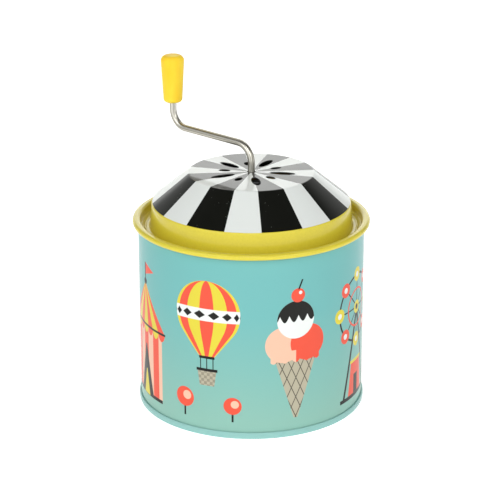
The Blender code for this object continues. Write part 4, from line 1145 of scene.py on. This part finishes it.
class MUSICBOX_OT_stage(bpy.types.Operator):
    """Lay the pale floor, set the soft light and place the camera"""

    bl_idname = "music_box.stage"
    bl_label = "Stage"

    def execute(self, context):
        stage = context.scene.music_box_stage
        self.lay_floor(stage)
        self.light_world(context)
        self.hang_lamps(context)
        self.place_camera(context, stage)
        context.scene.view_settings.view_transform = "Standard"
        return {"FINISHED"}

    def lay_floor(self, stage):
        def build(shape):
            bmesh.ops.create_circle(
                shape, cap_ends=True, radius=stage.floor_radius, segments=FLOOR_SEGMENTS)

        floor = new_object("floor", build, [find_material("pale_floor", pale_floor)])
        floor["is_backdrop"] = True

    def light_world(self, context):
        """Bright low surroundings and soft panels, by direction, under a dark ceiling."""
        world = bpy.data.worlds.new("studio")
        world.use_nodes = True
        context.scene.world = world
        sky = Nodes(world.node_tree)
        x, y, z = sky.split(sky.node("ShaderNodeTexCoord", {}, {}, "Generated"))
        low = z.between(0.44, 0.64, 1.0, 0.0, "SMOOTHSTEP")
        front = y.between(-0.9, 0.2, 0.95, 0.34, "SMOOTHSTEP")
        backdrop = y.between(0.80, 0.96, 0.0, 1.27, "SMOOTHSTEP")
        backdrop = backdrop * abs(x).between(0.10, 0.28, 1.40, 1.0)
        front_strip = z.band(0.42, 0.46, 0.64, 0.68) * y.between(-0.30, -0.45, 0.0, 2.2)
        overhead = z.band(0.56, 0.64, 0.84, 0.90) * y.between(0.40, 0.46)
        overhead = overhead * abs(x).between(0.42, 0.50, 1.15, 0.0)
        left = z.band(0.50, 0.60, 0.74, 0.82) * x.between(-0.62, -0.70, 0.0, 0.50)
        ceiling = 0.05
        light = low * (front + backdrop) + front_strip + overhead + left + ceiling
        background = sky.tree.nodes["Background"]
        background.inputs["Color"].default_value = (0.99, 1.0, 0.975, 1.0)
        sky.tree.links.new(light.socket, background.inputs["Strength"])

    def hang_lamps(self, context):
        """Soft lamps, with their angles in degrees."""
        for name, azimuth, elevation, width, power in (
            ("key_softbox", -44.0, 34.0, 36.0, 0.35),
            ("fill_softbox", 52.0, 32.0, 36.0, 0.18),
            ("top_lamp", 0.0, 55.0, 20.0, 0.36),
        ):
            light = bpy.data.lights.new(name, "SUN")
            light.angle = math.radians(width)
            light.energy = power
            lamp = bpy.data.objects.new(name, light)
            turn = Matrix.Rotation(math.radians(azimuth), 4, "Z")
            tilt = Matrix.Rotation(math.radians(90.0 - elevation), 4, "X")
            lamp.matrix_world = turn @ tilt
            context.scene.collection.objects.link(lamp)

    def place_camera(self, context, stage):
        data = bpy.data.cameras.new("camera")
        data.lens = stage.lens
        camera = bpy.data.objects.new("camera", data)
        back = Vector((0.0, -math.cos(stage.pitch), math.sin(stage.pitch)))
        camera.location = Vector(stage.aim) + back * stage.distance
        camera.rotation_euler = (math.pi / 2 - stage.pitch, 0.0, 0.0)
        context.scene.collection.objects.link(camera)
        context.scene.camera = camera


OPERATORS = (
    MUSICBOX_OT_can_wall,
    MUSICBOX_OT_can_base,
    MUSICBOX_OT_lid,
    MUSICBOX_OT_crank_wire,
    MUSICBOX_OT_grip,
    MUSICBOX_OT_movement,
    MUSICBOX_OT_stage,
)


class MUSICBOX_PT_pieces(bpy.types.Panel):
    """Lists the pieces of the music box"""

    bl_idname = "MUSICBOX_PT_pieces"
    bl_label = "Music Box"
    bl_space_type = "VIEW_3D"
    bl_region_type = "UI"
    bl_category = "Music Box"

    def draw(self, context):
        column = self.layout.column(align=True)
        for operator in OPERATORS:
            column.operator(operator.bl_idname)


GROUPS = {
    "music_box_tin": MUSICBOX_PG_tin,
    "music_box_crank": MUSICBOX_PG_crank,
    "music_box_inks": MUSICBOX_PG_inks,
    "music_box_stage": MUSICBOX_PG_stage,
}


def register():
    for group in GROUPS.values():
        bpy.utils.register_class(group)
    for name, group in GROUPS.items():
        setattr(bpy.types.Scene, name, PointerProperty(type=group))
    for item in (*OPERATORS, MUSICBOX_PT_pieces):
        bpy.utils.register_class(item)


def unregister():
    for item in (MUSICBOX_PT_pieces, *reversed(OPERATORS)):
        bpy.utils.unregister_class(item)
    for name in GROUPS:
        delattr(bpy.types.Scene, name)
    for group in GROUPS.values():
        bpy.utils.unregister_class(group)


def main():
    """Make every piece in order, and measure the two boxes."""
    register()
    for operator in OPERATORS:
        family, name = operator.bl_idname.split(".")
        getattr(getattr(bpy.ops, family), name)()
    {"cad": CAD_BOX, "visual": measured_box()}


if __name__ == "__main__":
    main()
